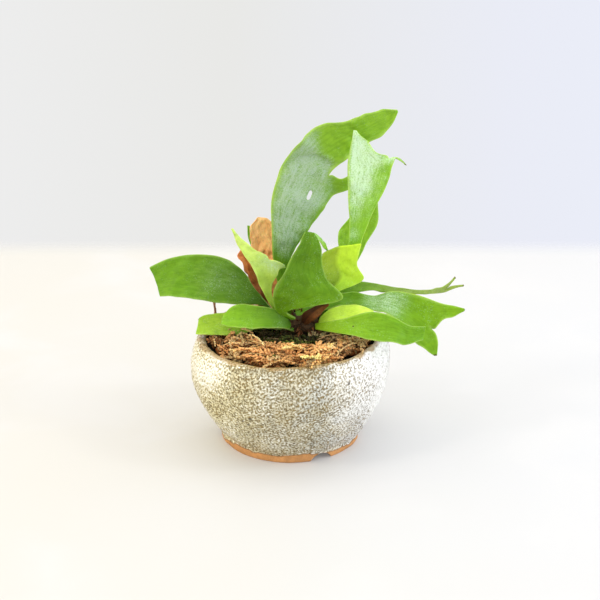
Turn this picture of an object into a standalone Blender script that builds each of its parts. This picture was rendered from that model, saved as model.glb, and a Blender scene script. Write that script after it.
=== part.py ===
"""A young staghorn fern in a small hand-made stoneware bowl, as a Blender script.

The bowl is one fired piece with a notched foot ring and a drain hole. A ball of packed moss and
roots fills it, loose moss tufts lie on the ball, and the rhizome sits on top. Every frond grows
from the rhizome: the green fertile fronds, some of them forked, and the papery brown shields.

Sizes are in millimetres, times MM. The bowl's axis is X = Y = 0 while the pieces are made; at the
end the whole plant is shifted so that the origin is the centre of its box, at the base.
"""

import math

import bmesh
import bpy
from mathutils import Matrix, Vector

MM = 0.001

# The bowl
POT_RADIUS = 45.5
POT_HEIGHT = 50.5
WALL = 5.0
FOOT_RADIUS = 31.5
FOOT_HEIGHT = 3.8
FOOT_WIDTH = 5.5
BELLY_HEIGHT = 37.0
LIP_LEAN = 2.6  # how far the shoulder leans in from the belly to the lip
FLOOR_THICKNESS = 4.5
DRAIN_RADIUS = 5.0
NOTCHES = 3
NOTCH_WIDTH = 11.0
NOTCH_DEPTH = 3.4
NOTCH_ANGLE = -63.0  # of the first notch, in degrees from +X
OUT_OF_ROUND = 0.5  # how far the thrower's hand pushed the lip out of round
LIP_WAVE = 0.5  # how far the lip rises and dips

# What fills it
GAP = 0.5  # between pieces that touch
MOSS_BELOW_LIP = 5.0  # the ball's edge below the lip
TUFTS = 9
TUFT_WIDTH = 14.0
TUFT_HEIGHT = 4.0
TUFT_GAP = 1.2
FIRST_TUFT = -1.2  # where the first one lies round the axis, in radians from +X

# The rhizome, which all fronds grow from
CROWN = Vector((5.0, -1.0))  # its centre, from the bowl's axis
CROWN_RISE = 10.0  # its top above the lip
RHIZOME_LENGTH = 20.0
RHIZOME_WIDTH = 13.0
RHIZOME_THICKNESS = 10.0

# The fronds
FROND_THICKNESS = 1.1
SHIELD_THICKNESS = 0.9
PETIOLE_WIDTH = 3.0
STIPE_RADIUS = 0.8
ROW_STEP = 5.0  # between the cross rows of a frond's mesh
HALF_COLUMNS = 2  # faces on each side of a frond's middle line
TIP_WIDTH = 0.9

SPIN_STEPS = 48


class Blade:
    """A frond's blade, or one lobe of it.

    rows     (x, y, h, sx, sy, sh) for each cross row: its centre, and the half span from there to
             its right edge, as seen with the upper side in view and the tip up. x and y are from
             the bowl's axis, and h is above the lip.
    lobes    the left and the right lobe, when the blade forks after its last row
    split    where the fork lies across the last row, from -1, the left edge, to 1, the right one
    bow      how far the middle of the last row is ahead of its edges
    cup      how far the edges stand above the middle, as a share of the half span
    fold     True where the blade is creased along its middle instead of rounded
    """

    def __init__(self, rows, lobes=(), split=0.0, bow=0.0, cup=0.15, fold=False):
        self.rows = rows
        self.lobes = lobes
        self.split = split
        self.bow = bow
        self.cup = cup
        self.fold = fold


# name: (where it leaves the rhizome, as degrees round it and degrees up, and its blade)
FRONDS = {
    "tall_frond": (
        (135, 45),
        Blade(
            [
                (-4, 3, 32, 3.5, 0.5, -1),
                (-0.8, 5, 45.5, 7.1, 2, -1.5),
                (2.5, 7, 56.5, 10.5, 2, -4.5),
                (7.5, 9.5, 67, 12, 2.5, -6.5),
            ],
            lobes=(
                Blade(
                    [
                        (13, 10.5, 81.5, 10, 2.5, -5),
                        (20, 12.5, 87, 7.5, 3, -7.5),
                        (29, 15, 90, 5, 2.5, -6),
                        (38.5, 17, 93.5, 3, 2, -5.5),
                        (45, 18.5, 97, 1.5, 0.5, -3),
                        (48, 19, 98.5, 0.2, 0, -0.5),
                    ]
                ),
                Blade(
                    [
                        (23.5, 13.5, 66, 1, -0.5, -3),
                        (30, 14.5, 68, 0.5, -0.5, -3),
                        (37.5, 16, 68, 0, 0, -0.5),
                    ]
                ),
            ),
            split=0.55,
            bow=11,
            cup=-0.12,
        ),
    ),
    "upright_frond": (
        (70, 35),
        Blade(
            [
                (27.5, 3, 35.5, 2, 0, -0.5),
                (29.5, 3, 44, 3, -1, 0),
                (31.5, 3, 55, 5, -2, 1),
                (34, 3, 66.5, 8, -3, 1),
                (36, 3, 79, 10.3, -4, 3.2),
            ],
            lobes=(
                Blade(
                    [
                        (32.5, 4.5, 83.5, 6, -2.5, 0.5),
                        (30.5, 5.5, 88.5, 3, -1.5, 0),
                        (28.5, 6.5, 92.5, 0.5, -0.5, 0),
                    ]
                ),
                Blade([(48.3, -1.6, 81.2, 0.8, -0.3, -0.8), (50.5, -2, 79, 0.2, 0, -0.4)]),
            ),
            split=0.72,
            cup=0.1,
        ),
    ),
    "sheltered_frond": (
        (90, 15),
        Blade(
            [
                (27.5, 8, 31, 2.5, 0, -0.5),
                (28.5, 12, 38.5, 6.5, 0, 0.5),
                (31, 14, 46, 9, 0, 2.5),
                (31.5, 14.5, 51, 8.5, -0.5, 6),
                (36, 15, 58, 3.5, 0, 2.5),
            ]
        ),
    ),
    "young_fold_frond": (
        (300, 45),
        Blade(
            [
                (17.5, -3, 21, 3.5, 1, -0.5),
                (22.5, -1.5, 28, 9.5, 4.5, -2),
                (20.7, -3, 35, 8.2, 4, -1.5),
                (22, -3.5, 42.5, 9, 3.5, 1),
            ],
            cup=0.3,
            fold=True,
        ),
    ),
    "centre_frond": (
        (240, 50),
        Blade(
            [
                (-3.5, -9, 14, 2.5, 0, 0),
                (1, -11.5, 19.5, 8.5, 0.5, -2),
                (8.5, -12, 24.5, 15, 1, -3),
                (7, -12, 33, 9, 2, -3),
                (8, -12.5, 41, 6, 1.5, -2.5),
                (9.2, -12.5, 47.5, 4.4, 0.5, -1.5),
                (8.8, -12, 51.8, 2, 0, -0.3),
            ]
        ),
    ),
    "arching_frond": (
        (105, 35),
        Blade(
            [
                (7, -0.5, 34, 0.5, 2.5, -1),
                (7.5, -2, 43, 0.5, 3, -1),
                (10, -3, 48.5, 0.5, 3, -1),
                (13.4, -3, 45.5, 0.5, 3, -1),
                (16.6, -3, 40.5, 0.5, 2, -1),
            ]
        ),
    ),
    "pale_fork_frond": (
        (190, 30),
        Blade(
            [
                (-8.5, -5, 17, 1.5, 0, -0.5),
                (-10.8, -7.5, 26, 2.8, 0.7, -0.5),
                (-11, -9, 33.5, 5.8, 1.5, -2),
            ],
            lobes=(
                Blade(
                    [
                        (-18, -11.5, 42.5, 2.4, 0.5, 1.2),
                        (-22.3, -12.5, 48.3, 1.2, 0.4, 0.7),
                        (-25, -13.5, 53.8, 0.4, 0, 0.1),
                    ]
                ),
                Blade(
                    [
                        (-5.3, -9, 35.6, 0.6, 0.2, -2.2),
                        (-1.9, -8.5, 34.5, 0.2, 0, -0.5),
                    ]
                ),
            ),
            split=0.35,
            bow=6,
        ),
    ),
    "left_frond": (
        (190, 15),
        Blade(
            [
                (-13.5, -1.5, 17, -1, 0.5, 3),
                (-22, -0.5, 22, 0.5, 2.5, 7.5),
                (-33, 1.5, 25, 2, 3.5, 9.5),
                (-46.5, 4, 25.5, 1, 4, 9),
                (-56, 6, 24, -0.5, 4, 7.5),
                (-61.5, 7, 22, -2.5, 3, 6),
            ]
        ),
    ),
    "front_left_frond": (
        (250, -15),
        Blade(
            [
                (-5.5, -9.5, 10, -1, 2.6, 3.4),
                (-14, -10, 11, -1.5, 4, 4),
                (-22, -10.5, 11.5, -1, 4.5, 4),
                (-27.5, -11.5, 11, 0, 3.5, 3),
                (-30.5, -13, 10, 0, 2, 1),
            ]
        ),
    ),
    "low_left_frond": (
        (215, -20),
        Blade(
            [
                (-13.5, -3, 6, -1, 3, 2),
                (-22.5, -4, 5.5, 0, 4, 3.5),
                (-34, -3.5, 5, 0, 4.5, 3.5),
                (-39.5, -3.5, 4.5, 0, 4.5, 3),
                (-42, -3.5, 4, 0.5, 3.5, 2.5),
            ]
        ),
    ),
    "front_right_frond": (
        (315, -5),
        Blade(
            [
                (25, -17.5, 9.5, 0.5, -2.5, -3),
                (37, -19.5, 10.5, 0.5, -3.5, -5.5),
                (46.5, -20.5, 9, 1, -3.5, -5),
                (53.5, -20.5, 7, 0.5, -2.5, -3),
                (59.5, -19.5, 7.5, -0.5, -1.5, -2.5),
            ]
        ),
    ),
    "yellow_frond": (
        (335, 15),
        Blade(
            [
                (19.5, -7.5, 11.5, 0.5, -2.5, -2),
                (27, -8, 13, 1, -3, -2),
                (33, -8.5, 14, 1, -2.5, -1),
                (37.5, -8, 13, 0, 0, -0.5),
            ]
        ),
    ),
    "right_frond": (
        (180, 70),
        Blade(
            [
                (13, -0.5, 12.5, 0.5, -2.5, -1),
                (26, 1, 15.5, 1, -4, -2),
                (38, -2, 14.5, 0.5, -5, -2),
                (48, -4.5, 14, 0.5, -6, -5),
                (56.5, -7.5, 9.5, -1, -6, -9),
            ],
            lobes=(
                Blade(
                    [
                        (67.5, -8, 13, 0.5, -2.5, -3.5),
                        (74, -9.5, 14, 0, -1, -2),
                        (78, -10.5, 15, 0, 0, -0.5),
                    ]
                ),
                Blade(
                    [
                        (63, -15, 0, -3, -1, -2),
                        (65, -17, -4.5, -0.5, 0, 0),
                    ]
                ),
            ),
            bow=8,
        ),
    ),
    "antler_frond": (
        (10, 20),
        Blade(
            [
                (21.5, 7, 16.5, 1, -1, -1.5),
                (29.5, 9, 19, 1.5, -1.5, -2),
                (38.5, 11.5, 18, 1, -1, -1.5),
                (48.5, 14, 15.7, 0, -1, -1),
                (60.5, 16.5, 13.6, 0, -0.5, -1),
                (70, 19, 13.6, 0.5, 0, -1.2),
            ],
            lobes=(
                Blade([(73.5, 20, 16, 0.5, 0, -0.5), (77, 21, 19.5, 0.2, 0, -0.4)]),
                Blade([(75, 20, 14.5, 0.5, -0.5, -0.5), (81, 21, 15.5, 0, 0, -0.5)]),
            ),
            bow=2,
        ),
    ),
    "back_left_frond": (
        (112, 0),
        Blade(
            [
                (-7, 16, 16.5, 2.5, -0.5, -0.5),
                (-12.5, 21.5, 27.5, 3, -0.5, -1),
                (-17, 25.5, 36.5, 2.5, -0.5, -0.5),
                (-19.5, 28, 42.5, 0.5, 0, 0),
            ]
        ),
    ),
}

SHIELDS = {
    "tall_shield": (
        (140, 30),
        Blade(
            [
                (-11, 9.5, 12.5, 4, 0, 0),
                (-11.5, 12.5, 26, 6.5, 0.5, 0),
                (-12, 14.5, 39.5, 6.2, 0.5, 0),
                (-13, 15.5, 47.5, 5, 0.5, 0.5),
                (-12.5, 16, 50, 2.5, 0, 0),
            ],
            cup=0.3,
        ),
    ),
    "left_shield": (
        (172, 10),
        Blade(
            [
                (-11, 4, 9.5, 2, 0.5, 0.5),
                (-15, 5, 21, 3, 2, -1),
                (-18.4, 5.5, 29, 4.3, 2.5, -1.5),
                (-20.6, 7, 33.5, 4.5, 2, -1),
                (-20.6, 7.5, 37.5, 2.2, 0.5, 0),
            ],
            cup=0.3,
        ),
    ),
    "bud_shield": (
        (280, 30),
        Blade(
            [
                (9.5, -10.5, 13, 2.5, -0.5, -1.5),
                (13.5, -9, 15.5, 1, 0, -1.5),
                (17.5, -8, 17, 0, 0, -0.5),
            ],
            cup=0.4,
        ),
    ),
}

# name: colour, roughness
FINISHES = {
    "glazed_stoneware": ((0.72, 0.70, 0.62), 0.35),
    "root_moss": ((0.10, 0.07, 0.04), 0.95),
    "sphagnum": ((0.55, 0.28, 0.10), 0.9),
    "dry_stalk": ((0.14, 0.08, 0.04), 0.85),
    "frond_green": ((0.17, 0.36, 0.04), 0.5),
    "frond_young": ((0.40, 0.62, 0.06), 0.5),
    "shield_brown": ((0.42, 0.20, 0.08), 0.8),
}

YOUNG_FRONDS = (
    "young_fold_frond",
    "yellow_frond",
    "pale_fork_frond",
    "front_left_frond",
    "low_left_frond",
)


def finish(name):
    """The material of that name, made once."""
    found = bpy.data.materials.get(name)
    if found:
        return found
    colour, roughness = FINISHES[name]
    made = bpy.data.materials.new(name)
    made.use_nodes = True
    shader = made.node_tree.nodes["Principled BSDF"]
    shader.inputs["Base Color"].default_value = (*colour, 1.0)
    shader.inputs["Roughness"].default_value = roughness
    shader.inputs["Metallic"].default_value = 0.0
    return made


def add_object(name, bm, material):
    """A mesh object of that bmesh, in millimetres, scaled to metres and parented to the plant."""
    bmesh.ops.scale(bm, vec=(MM, MM, MM), verts=bm.verts)
    mesh = bpy.data.meshes.new(name)
    bm.to_mesh(mesh)
    bm.free()
    obj = bpy.data.objects.new(name, mesh)
    bpy.context.scene.collection.objects.link(obj)
    obj.data.materials.append(finish(material))
    obj.parent = bpy.data.objects["plant"]
    return obj


def smooth(obj):
    """Shades the object smooth, but for its sharp edges."""
    obj.data.shade_smooth()
    obj.data.set_sharp_from_angle(angle=math.radians(40))


def outer_radius(z):
    """The bowl's outside at height z: a swelling curve to the belly, then a shoulder to the lip."""
    if z < BELLY_HEIGHT:
        rise = (z - FOOT_HEIGHT) / (BELLY_HEIGHT - FOOT_HEIGHT)
        return FOOT_RADIUS + (POT_RADIUS - FOOT_RADIUS) * math.sin(rise * math.pi / 2) ** 0.9
    rise = (z - BELLY_HEIGHT) / (POT_HEIGHT - WALL / 2 - BELLY_HEIGHT)
    return POT_RADIUS - LIP_LEAN * rise**2


def pushed(point):
    """A point of the bowl after the thrower's hand: out of round and wavy towards the lip."""
    angle = math.atan2(point.y, point.x)
    up = point.z / POT_HEIGHT
    away = math.hypot(point.x, point.y) / POT_RADIUS
    share = up * away**2
    out = OUT_OF_ROUND * share * (math.cos(2 * angle - 0.8) + 0.6 * math.cos(3 * angle + 0.5))
    lift = LIP_WAVE * share * up**3 * (math.cos(angle - 0.3) + 0.5 * math.cos(2 * angle + 1.9))
    return point + Vector((out * math.cos(angle), out * math.sin(angle), lift))


def turned(profile):
    """A bmesh turned round Z from a profile of (radius, height), whose last point is joined to its
    first unless both ends are on the axis."""
    bm = bmesh.new()
    points = [bm.verts.new((r, 0.0, z)) for r, z in profile]
    on_axis = profile[0][0] == 0 and profile[-1][0] == 0
    ends = zip(points, points[1:] + ([] if on_axis else points[:1]))
    edges = [bm.edges.new(pair) for pair in ends]
    bmesh.ops.spin(
        bm,
        geom=points + edges,
        cent=(0, 0, 0),
        axis=(0, 0, 1),
        angle=2 * math.pi,
        steps=SPIN_STEPS,
        use_merge=True,
    )
    bmesh.ops.remove_doubles(bm, verts=bm.verts, dist=0.001)
    for vert in bm.verts:
        vert.co = pushed(vert.co)
    bmesh.ops.recalc_face_normals(bm, faces=bm.faces)
    return bm


def between(low, high, count):
    """count values from low to high, both ends included."""
    return [low + (high - low) * i / (count - 1) for i in range(count)]


def floor_height():
    """The top of the bowl's floor, inside."""
    return FOOT_HEIGHT + FLOOR_THICKNESS


def bowl_profile():
    """The bowl's section, from the foot's outer edge up the outside, over the lip and down."""
    lip_height = POT_HEIGHT - WALL / 2
    lip_centre = outer_radius(lip_height) - WALL / 2
    foot_inside = FOOT_RADIUS - FOOT_WIDTH
    outside = [(outer_radius(z), z) for z in between(FOOT_HEIGHT, lip_height, 11)]
    lip = [
        (lip_centre + WALL / 2 * math.cos(a), lip_height + WALL / 2 * math.sin(a))
        for a in between(0, math.pi, 7)[1:-1]
    ]
    inside = [(outer_radius(z) - WALL, z) for z in between(lip_height, floor_height() + 2, 8)]
    floor = [
        (outer_radius(floor_height()) - WALL - 3, floor_height()),
        (DRAIN_RADIUS, floor_height()),
        (DRAIN_RADIUS, FOOT_HEIGHT),
    ]
    foot = [
        (foot_inside, FOOT_HEIGHT),
        (foot_inside, 0.0),
        (FOOT_RADIUS - 0.8, 0.0),
        (FOOT_RADIUS - 0.2, 0.7),
    ]
    return outside + lip + inside + floor + foot


def make_pot():
    """The bowl, with notches cut through its foot ring."""
    pot = add_object("pot", turned(bowl_profile()), "glazed_stoneware")
    # A notch is a lying cylinder whose top is the arch.
    half = NOTCH_WIDTH / 2
    radius = (half**2 + NOTCH_DEPTH**2) / (2 * NOTCH_DEPTH)
    bm = bmesh.new()
    for i in range(NOTCHES):
        made = bmesh.ops.create_cone(
            bm, cap_ends=True, segments=32, radius1=radius, radius2=radius, depth=FOOT_WIDTH * 3
        )["verts"]
        angle = math.radians(NOTCH_ANGLE + 360 / NOTCHES * i)
        bmesh.ops.rotate(bm, verts=made, matrix=Matrix.Rotation(math.pi / 2, 3, "Y"))
        reach = FOOT_RADIUS - FOOT_WIDTH / 2
        bmesh.ops.translate(bm, verts=made, vec=(reach, 0, NOTCH_DEPTH - radius))
        bmesh.ops.rotate(bm, verts=made, matrix=Matrix.Rotation(angle, 3, "Z"))
    cutter = add_object("notch_cutter", bm, "glazed_stoneware")
    cutter.hide_render = True
    cutter.display_type = "WIRE"
    cut = pot.modifiers.new("foot notches", "BOOLEAN")
    cut.operation = "DIFFERENCE"
    cut.object = cutter
    smooth(pot)


def rhizome_centre():
    """The rhizome's centre, from the bowl's axis at the base."""
    return Vector((CROWN.x, CROWN.y, POT_HEIGHT + CROWN_RISE - RHIZOME_THICKNESS / 2))


def moss_edge():
    """(radius, height) of the moss ball's upper edge, against the wall."""
    height = POT_HEIGHT - MOSS_BELOW_LIP
    return outer_radius(height) - WALL - GAP, height


def moss_top(radius):
    """Height of the moss ball's domed top, which comes up to just under the rhizome."""
    edge_radius, edge_height = moss_edge()
    seat = POT_HEIGHT + CROWN_RISE - RHIZOME_THICKNESS - GAP
    return edge_height + (seat - edge_height) * (1 - (radius / edge_radius) ** 2)


def make_root_ball():
    """Moss and roots, packed to the bowl's inside."""
    low = floor_height() + GAP
    edge_radius, edge_height = moss_edge()
    bottom = [(0.0, low), (outer_radius(floor_height()) - WALL - 3 - GAP, low)]
    side = [
        (outer_radius(z) - WALL - GAP, z) for z in between(floor_height() + 2 + GAP, edge_height, 7)
    ]
    dome = [(r, moss_top(r)) for r in between(edge_radius, 0.0, 6)[1:]]
    ball = add_object("root_ball", turned(bottom + side + dome), "root_moss")
    smooth(ball)


def make_moss():
    """Moss tufts in a ring inside the lip: pads with rounded edges and tops, lying on the ball."""
    across, along = 4, 7
    inner = moss_edge()[0] - TUFT_WIDTH - OUT_OF_ROUND * 2
    share = 2 * math.pi / TUFTS
    for i in range(TUFTS):
        bm = bmesh.new()
        grid = []
        for layer in (0, 1):
            rows = []
            for b in range(across + 1):
                v = 2 * b / across - 1
                row = []
                for a in range(along + 1):
                    u = 2 * a / along - 1
                    middle = inner + TUFT_WIDTH / 2 * (1 + v * math.sqrt(1 - 0.35 * u * u))
                    reach = share / 2 * u * math.sqrt(1 - 0.3 * v * v)
                    gap_angle = TUFT_GAP / 2 / max(middle, 1.0) * u
                    angle = FIRST_TUFT + share * i + reach - gap_angle
                    base = moss_top(middle) + GAP
                    swell = (1 - u**4) * (1 - v**4)
                    lump = 1 + 0.25 * math.sin(5 * angle + 2.1 * i) * math.cos(3 * v + i)
                    thick = 0.5 + (TUFT_HEIGHT - 0.5) * swell * lump if layer else 0.0
                    x, y = middle * math.cos(angle), middle * math.sin(angle)
                    row.append(bm.verts.new(pushed(Vector((x, y, base + thick)))))
                rows.append(row)
            grid.append(rows)
        under, over = grid
        for b in range(across):
            for a in range(along):
                for rows in grid:
                    bm.faces.new((rows[b][a], rows[b][a + 1], rows[b + 1][a + 1], rows[b + 1][a]))
        rim = [under[0][a] for a in range(along)] + [under[b][along] for b in range(across)]
        rim += [under[across][a] for a in range(along, 0, -1)]
        rim += [under[b][0] for b in range(across, 0, -1)]
        top = [over[0][a] for a in range(along)] + [over[b][along] for b in range(across)]
        top += [over[across][a] for a in range(along, 0, -1)]
        top += [over[b][0] for b in range(across, 0, -1)]
        for j in range(len(rim)):
            k = (j + 1) % len(rim)
            bm.faces.new((rim[j], rim[k], top[k], top[j]))
        bmesh.ops.recalc_face_normals(bm, faces=bm.faces)
        smooth(add_object(f"moss_tuft_{i + 1}", bm, "sphagnum"))


def make_rhizome():
    """The creeping stem, as a smooth lump on top of the moss ball."""
    bm = bmesh.new()
    bmesh.ops.create_uvsphere(bm, u_segments=20, v_segments=12, radius=1.0)
    half = Vector((RHIZOME_LENGTH, RHIZOME_WIDTH, RHIZOME_THICKNESS)) / 2
    for vert in bm.verts:
        vert.co = Vector(a * b for a, b in zip(vert.co, half))
    bmesh.ops.translate(bm, verts=bm.verts, vec=rhizome_centre())
    smooth(add_object("rhizome", bm, "dry_stalk"))


def leaving(degrees, up, clear):
    """Where a stalk leaves the rhizome, that far clear of its surface."""
    a, e = math.radians(degrees), math.radians(up)
    out = Vector((math.cos(e) * math.cos(a), math.cos(e) * math.sin(a), math.sin(e)))
    half = Vector((RHIZOME_LENGTH, RHIZOME_WIDTH, RHIZOME_THICKNESS)) / 2
    surface = Vector(a * b for a, b in zip(out, half))
    normal = Vector(a / b for a, b in zip(out, half)).normalized()
    return rhizome_centre() + surface + normal * clear


def slopes(points, knots):
    """The slope of a smooth curve at each of its points, for knots that aren't evenly spaced.

    The side with the shorter step counts for more, which keeps the curve from overshooting.
    """
    gaps = [b - a for a, b in zip(knots, knots[1:])]
    steps = [(b - a) / gap for a, b, gap in zip(points, points[1:], gaps)]
    inner = [
        (steps[i] * gaps[i + 1] + steps[i + 1] * gaps[i]) / (gaps[i] + gaps[i + 1])
        for i in range(len(gaps) - 1)
    ]
    return [steps[0], *inner, steps[-1]]


def hermite(a, b, slope_a, slope_b, length, t):
    """The point a share t of the way along the smooth curve from a to b."""
    return (
        a * (2 * t**3 - 3 * t**2 + 1)
        + slope_a * length * (t**3 - 2 * t**2 + t)
        + b * (3 * t**2 - 2 * t**3)
        + slope_b * length * (t**3 - t**2)
    )


def cross_row(row, ahead, blade, places, last):
    """The points across one row of a blade. places run from -1 to 1, and ahead is to the tip."""
    centre = Vector((row[0], row[1], row[2] + POT_HEIGHT))
    span = Vector(row[3:])
    if span.length < TIP_WIDTH / 2:
        span = span.normalized() * TIP_WIDTH / 2
    up = span.cross(ahead).normalized() * span.length * blade.cup
    bow = ahead.normalized() * (blade.bow if last and blade.lobes else 0.0)
    points = []
    for v in places:
        lift = abs(v) if blade.fold else v * v
        points.append(centre + span * v + up * lift + bow * (1 - v * v))
    return points


def loft(blade, first, first_slopes):
    """A blade's rows of points, and the same for each of its lobes, as (rows, lobes).

    first is the row that the blade starts from, and first_slopes its columns' slopes, or None.
    """
    split = blade.split if blade.lobes else 0.0
    half = len(first) // 2
    places = between(-1.0, split, half + 1) + between(split, 1.0, half + 1)[1:]
    centres = [sum(first, Vector()) / len(first)]
    centres += [Vector((r[0], r[1], r[2] + POT_HEIGHT)) for r in blade.rows]
    aheads = [(b - a) for a, b in zip(centres, centres[1:])]
    aheads = [a.normalized() for a in aheads]
    turns = [(a + b).normalized() for a, b in zip(aheads, aheads[1:])] + [aheads[-1]]
    rows = [first]
    for i, row in enumerate(blade.rows):
        rows.append(cross_row(row, turns[i], blade, places, i == len(blade.rows) - 1))
    knots = [0.0]
    for a, b in zip(centres, centres[1:]):
        knots.append(knots[-1] + (b - a).length)
    columns = [[row[c] for row in rows] for c in range(len(first))]
    ways = [slopes(column, knots) for column in columns]
    if first_slopes:
        for way, slope in zip(ways, first_slopes):
            way[0] = slope
    fine = [first]
    for i in range(len(knots) - 1):
        length = knots[i + 1] - knots[i]
        steps = max(1, round(length / ROW_STEP))
        for s in range(1, steps + 1):
            fine.append(
                [
                    hermite(column[i], column[i + 1], way[i], way[i + 1], length, s / steps)
                    for column, way in zip(columns, ways)
                ]
            )
    lobes = []
    if blade.lobes:
        ends = [way[-1] for way in ways]
        for lobe, start in zip(blade.lobes, (0, half)):
            lobe_row = fine[-1][start : start + half + 1]
            lobe_ways = ends[start : start + half + 1]
            lobes.append(loft(lobe, lobe_row, lobe_ways))
    return fine, lobes


def skin(bm, rows, lobes, first=None):
    """Faces between a blade's rows, and those of its lobes, which share the blade's last row."""
    verts = [first or [bm.verts.new(p) for p in rows[0]]]
    verts += [[bm.verts.new(p) for p in row] for row in rows[1:]]
    for low, high in zip(verts, verts[1:]):
        for c in range(len(low) - 1):
            bm.faces.new((low[c], low[c + 1], high[c + 1], high[c]))
    half = len(rows[0]) // 2
    for (lobe_rows, inner), start in zip(lobes, (0, half)):
        skin(bm, lobe_rows, inner, verts[-1][start : start + half + 1])


def deepest(blade):
    """How many times a blade forks, one after another."""
    return 1 + max(map(deepest, blade.lobes)) if blade.lobes else 0


def make_frond(name, root, blade, thickness, material):
    """A frond from its stalk on the rhizome to the tips of its lobes."""
    point = leaving(*root, GAP + thickness)
    span = Vector(blade.rows[0][3:]).normalized() * PETIOLE_WIDTH / 2
    columns = 2 * HALF_COLUMNS * 2 ** max(0, deepest(blade) - 1)
    first = [point + span * v for v in between(-1.0, 1.0, columns + 1)]
    rows, lobes = loft(blade, first, None)
    bm = bmesh.new()
    skin(bm, rows, lobes)
    obj = add_object(name, bm, material)
    solid = obj.modifiers.new("thickness", "SOLIDIFY")
    solid.thickness = thickness * MM
    solid.offset = 0.0
    smooth(obj)


def make_fronds():
    """The green fronds and the brown shields."""
    for name, (root, blade) in FRONDS.items():
        colour = "frond_young" if name in YOUNG_FRONDS else "frond_green"
        make_frond(name, root, blade, FROND_THICKNESS, colour)
    for name, (root, blade) in SHIELDS.items():
        make_frond(name, root, blade, SHIELD_THICKNESS, "shield_brown")


def make_dry_stipe():
    """The bare stalk of a lost frond, standing in the moss at the left."""
    foot = Vector((-35, 6, 0))
    foot.z = moss_top(foot.xy.length) + GAP + TUFT_HEIGHT + 1
    top = Vector((-34.8, 6, POT_HEIGHT + 13))
    bm = bmesh.new()
    rings = []
    for t in between(0.0, 1.0, 5):
        centre = foot.lerp(top, t) + Vector((0.6 * math.sin(math.pi * t), 0, 0))
        radius = STIPE_RADIUS * (1 - 0.35 * t)
        rings.append(
            [
                bm.verts.new(centre + radius * Vector((math.cos(a), math.sin(a), 0)))
                for a in between(0, 2 * math.pi, 9)[:-1]
            ]
        )
    for low, high in zip(rings, rings[1:]):
        for a in range(8):
            b = (a + 1) % 8
            bm.faces.new((low[a], low[b], high[b], high[a]))
    bm.faces.new(reversed(rings[0]))
    bm.faces.new(rings[-1])
    smooth(add_object("dry_stipe", bm, "dry_stalk"))


def centre_on_origin():
    """Moves the plant so that the origin is the centre of its box, at the base."""
    bpy.context.view_layer.update()
    graph = bpy.context.evaluated_depsgraph_get()
    corners = []
    for obj in bpy.context.scene.objects:
        if obj.type == "MESH" and not obj.hide_render:
            evaluated = obj.evaluated_get(graph)
            corners += [evaluated.matrix_world @ Vector(c) for c in evaluated.bound_box]
    low = Vector(min(c[i] for c in corners) for i in range(3))
    high = Vector(max(c[i] for c in corners) for i in range(3))
    middle = (low + high) / 2
    bpy.data.objects["plant"].location = (-middle.x, -middle.y, -low.z)


def main():
    for obj in list(bpy.data.objects):
        bpy.data.objects.remove(obj)
    plant = bpy.data.objects.new("plant", None)
    bpy.context.scene.collection.objects.link(plant)
    make_pot()
    make_root_ball()
    make_moss()
    make_rhizome()
    make_fronds()
    make_dry_stipe()
    centre_on_origin()


main()
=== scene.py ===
"""A young staghorn fern in a small stoneware bowl, in full detail, and its stage.

Lengths inside the script are in millimetres from the bowl's axis at the base, until set_points
puts them in the part's frame, in metres. Heights of fronds are given above the bowl's lip.
"""

import math
import random

import bpy
import numpy as np
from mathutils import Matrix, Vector


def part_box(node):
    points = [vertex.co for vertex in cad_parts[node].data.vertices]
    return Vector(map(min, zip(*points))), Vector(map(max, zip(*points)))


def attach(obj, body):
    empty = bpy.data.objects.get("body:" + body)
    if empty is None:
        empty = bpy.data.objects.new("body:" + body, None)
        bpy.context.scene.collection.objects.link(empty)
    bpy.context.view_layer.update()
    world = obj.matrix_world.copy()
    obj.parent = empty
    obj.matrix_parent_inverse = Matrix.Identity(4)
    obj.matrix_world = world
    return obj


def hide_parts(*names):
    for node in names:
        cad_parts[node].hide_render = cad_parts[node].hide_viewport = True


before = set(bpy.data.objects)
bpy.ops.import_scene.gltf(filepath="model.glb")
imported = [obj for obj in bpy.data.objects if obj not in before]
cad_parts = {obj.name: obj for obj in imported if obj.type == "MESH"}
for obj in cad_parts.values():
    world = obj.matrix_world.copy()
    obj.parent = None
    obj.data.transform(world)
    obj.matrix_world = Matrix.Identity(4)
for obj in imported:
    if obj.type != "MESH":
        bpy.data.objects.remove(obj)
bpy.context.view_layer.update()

bl_info = {
    "name": "Staghorn Fern in a Stoneware Bowl",
    "version": (1, 0, 0),
    "blender": (4, 5, 0),
    "location": "View3D > Sidebar > Fern",
    "description": "Builds a young staghorn fern in a small glazed bowl, piece by piece",
    "category": "Add Mesh",
}

MM = 0.001
POT_LOW, POT_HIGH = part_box("pot")
AXIS = Vector(((POT_LOW.x + POT_HIGH.x) / 2, (POT_LOW.y + POT_HIGH.y) / 2, 0.0))


def colour_prop(label, note, value):
    """A colour that a user may change."""
    return bpy.props.FloatVectorProperty(
        name=label, description=note, default=value, subtype="COLOR", size=3, min=0.0, max=1.0
    )


def length_prop(label, note, value):
    """A length that a user may change. The value is in millimetres."""
    return bpy.props.FloatProperty(
        name=label, description=note, default=value * MM, unit="LENGTH", precision=4
    )


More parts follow.
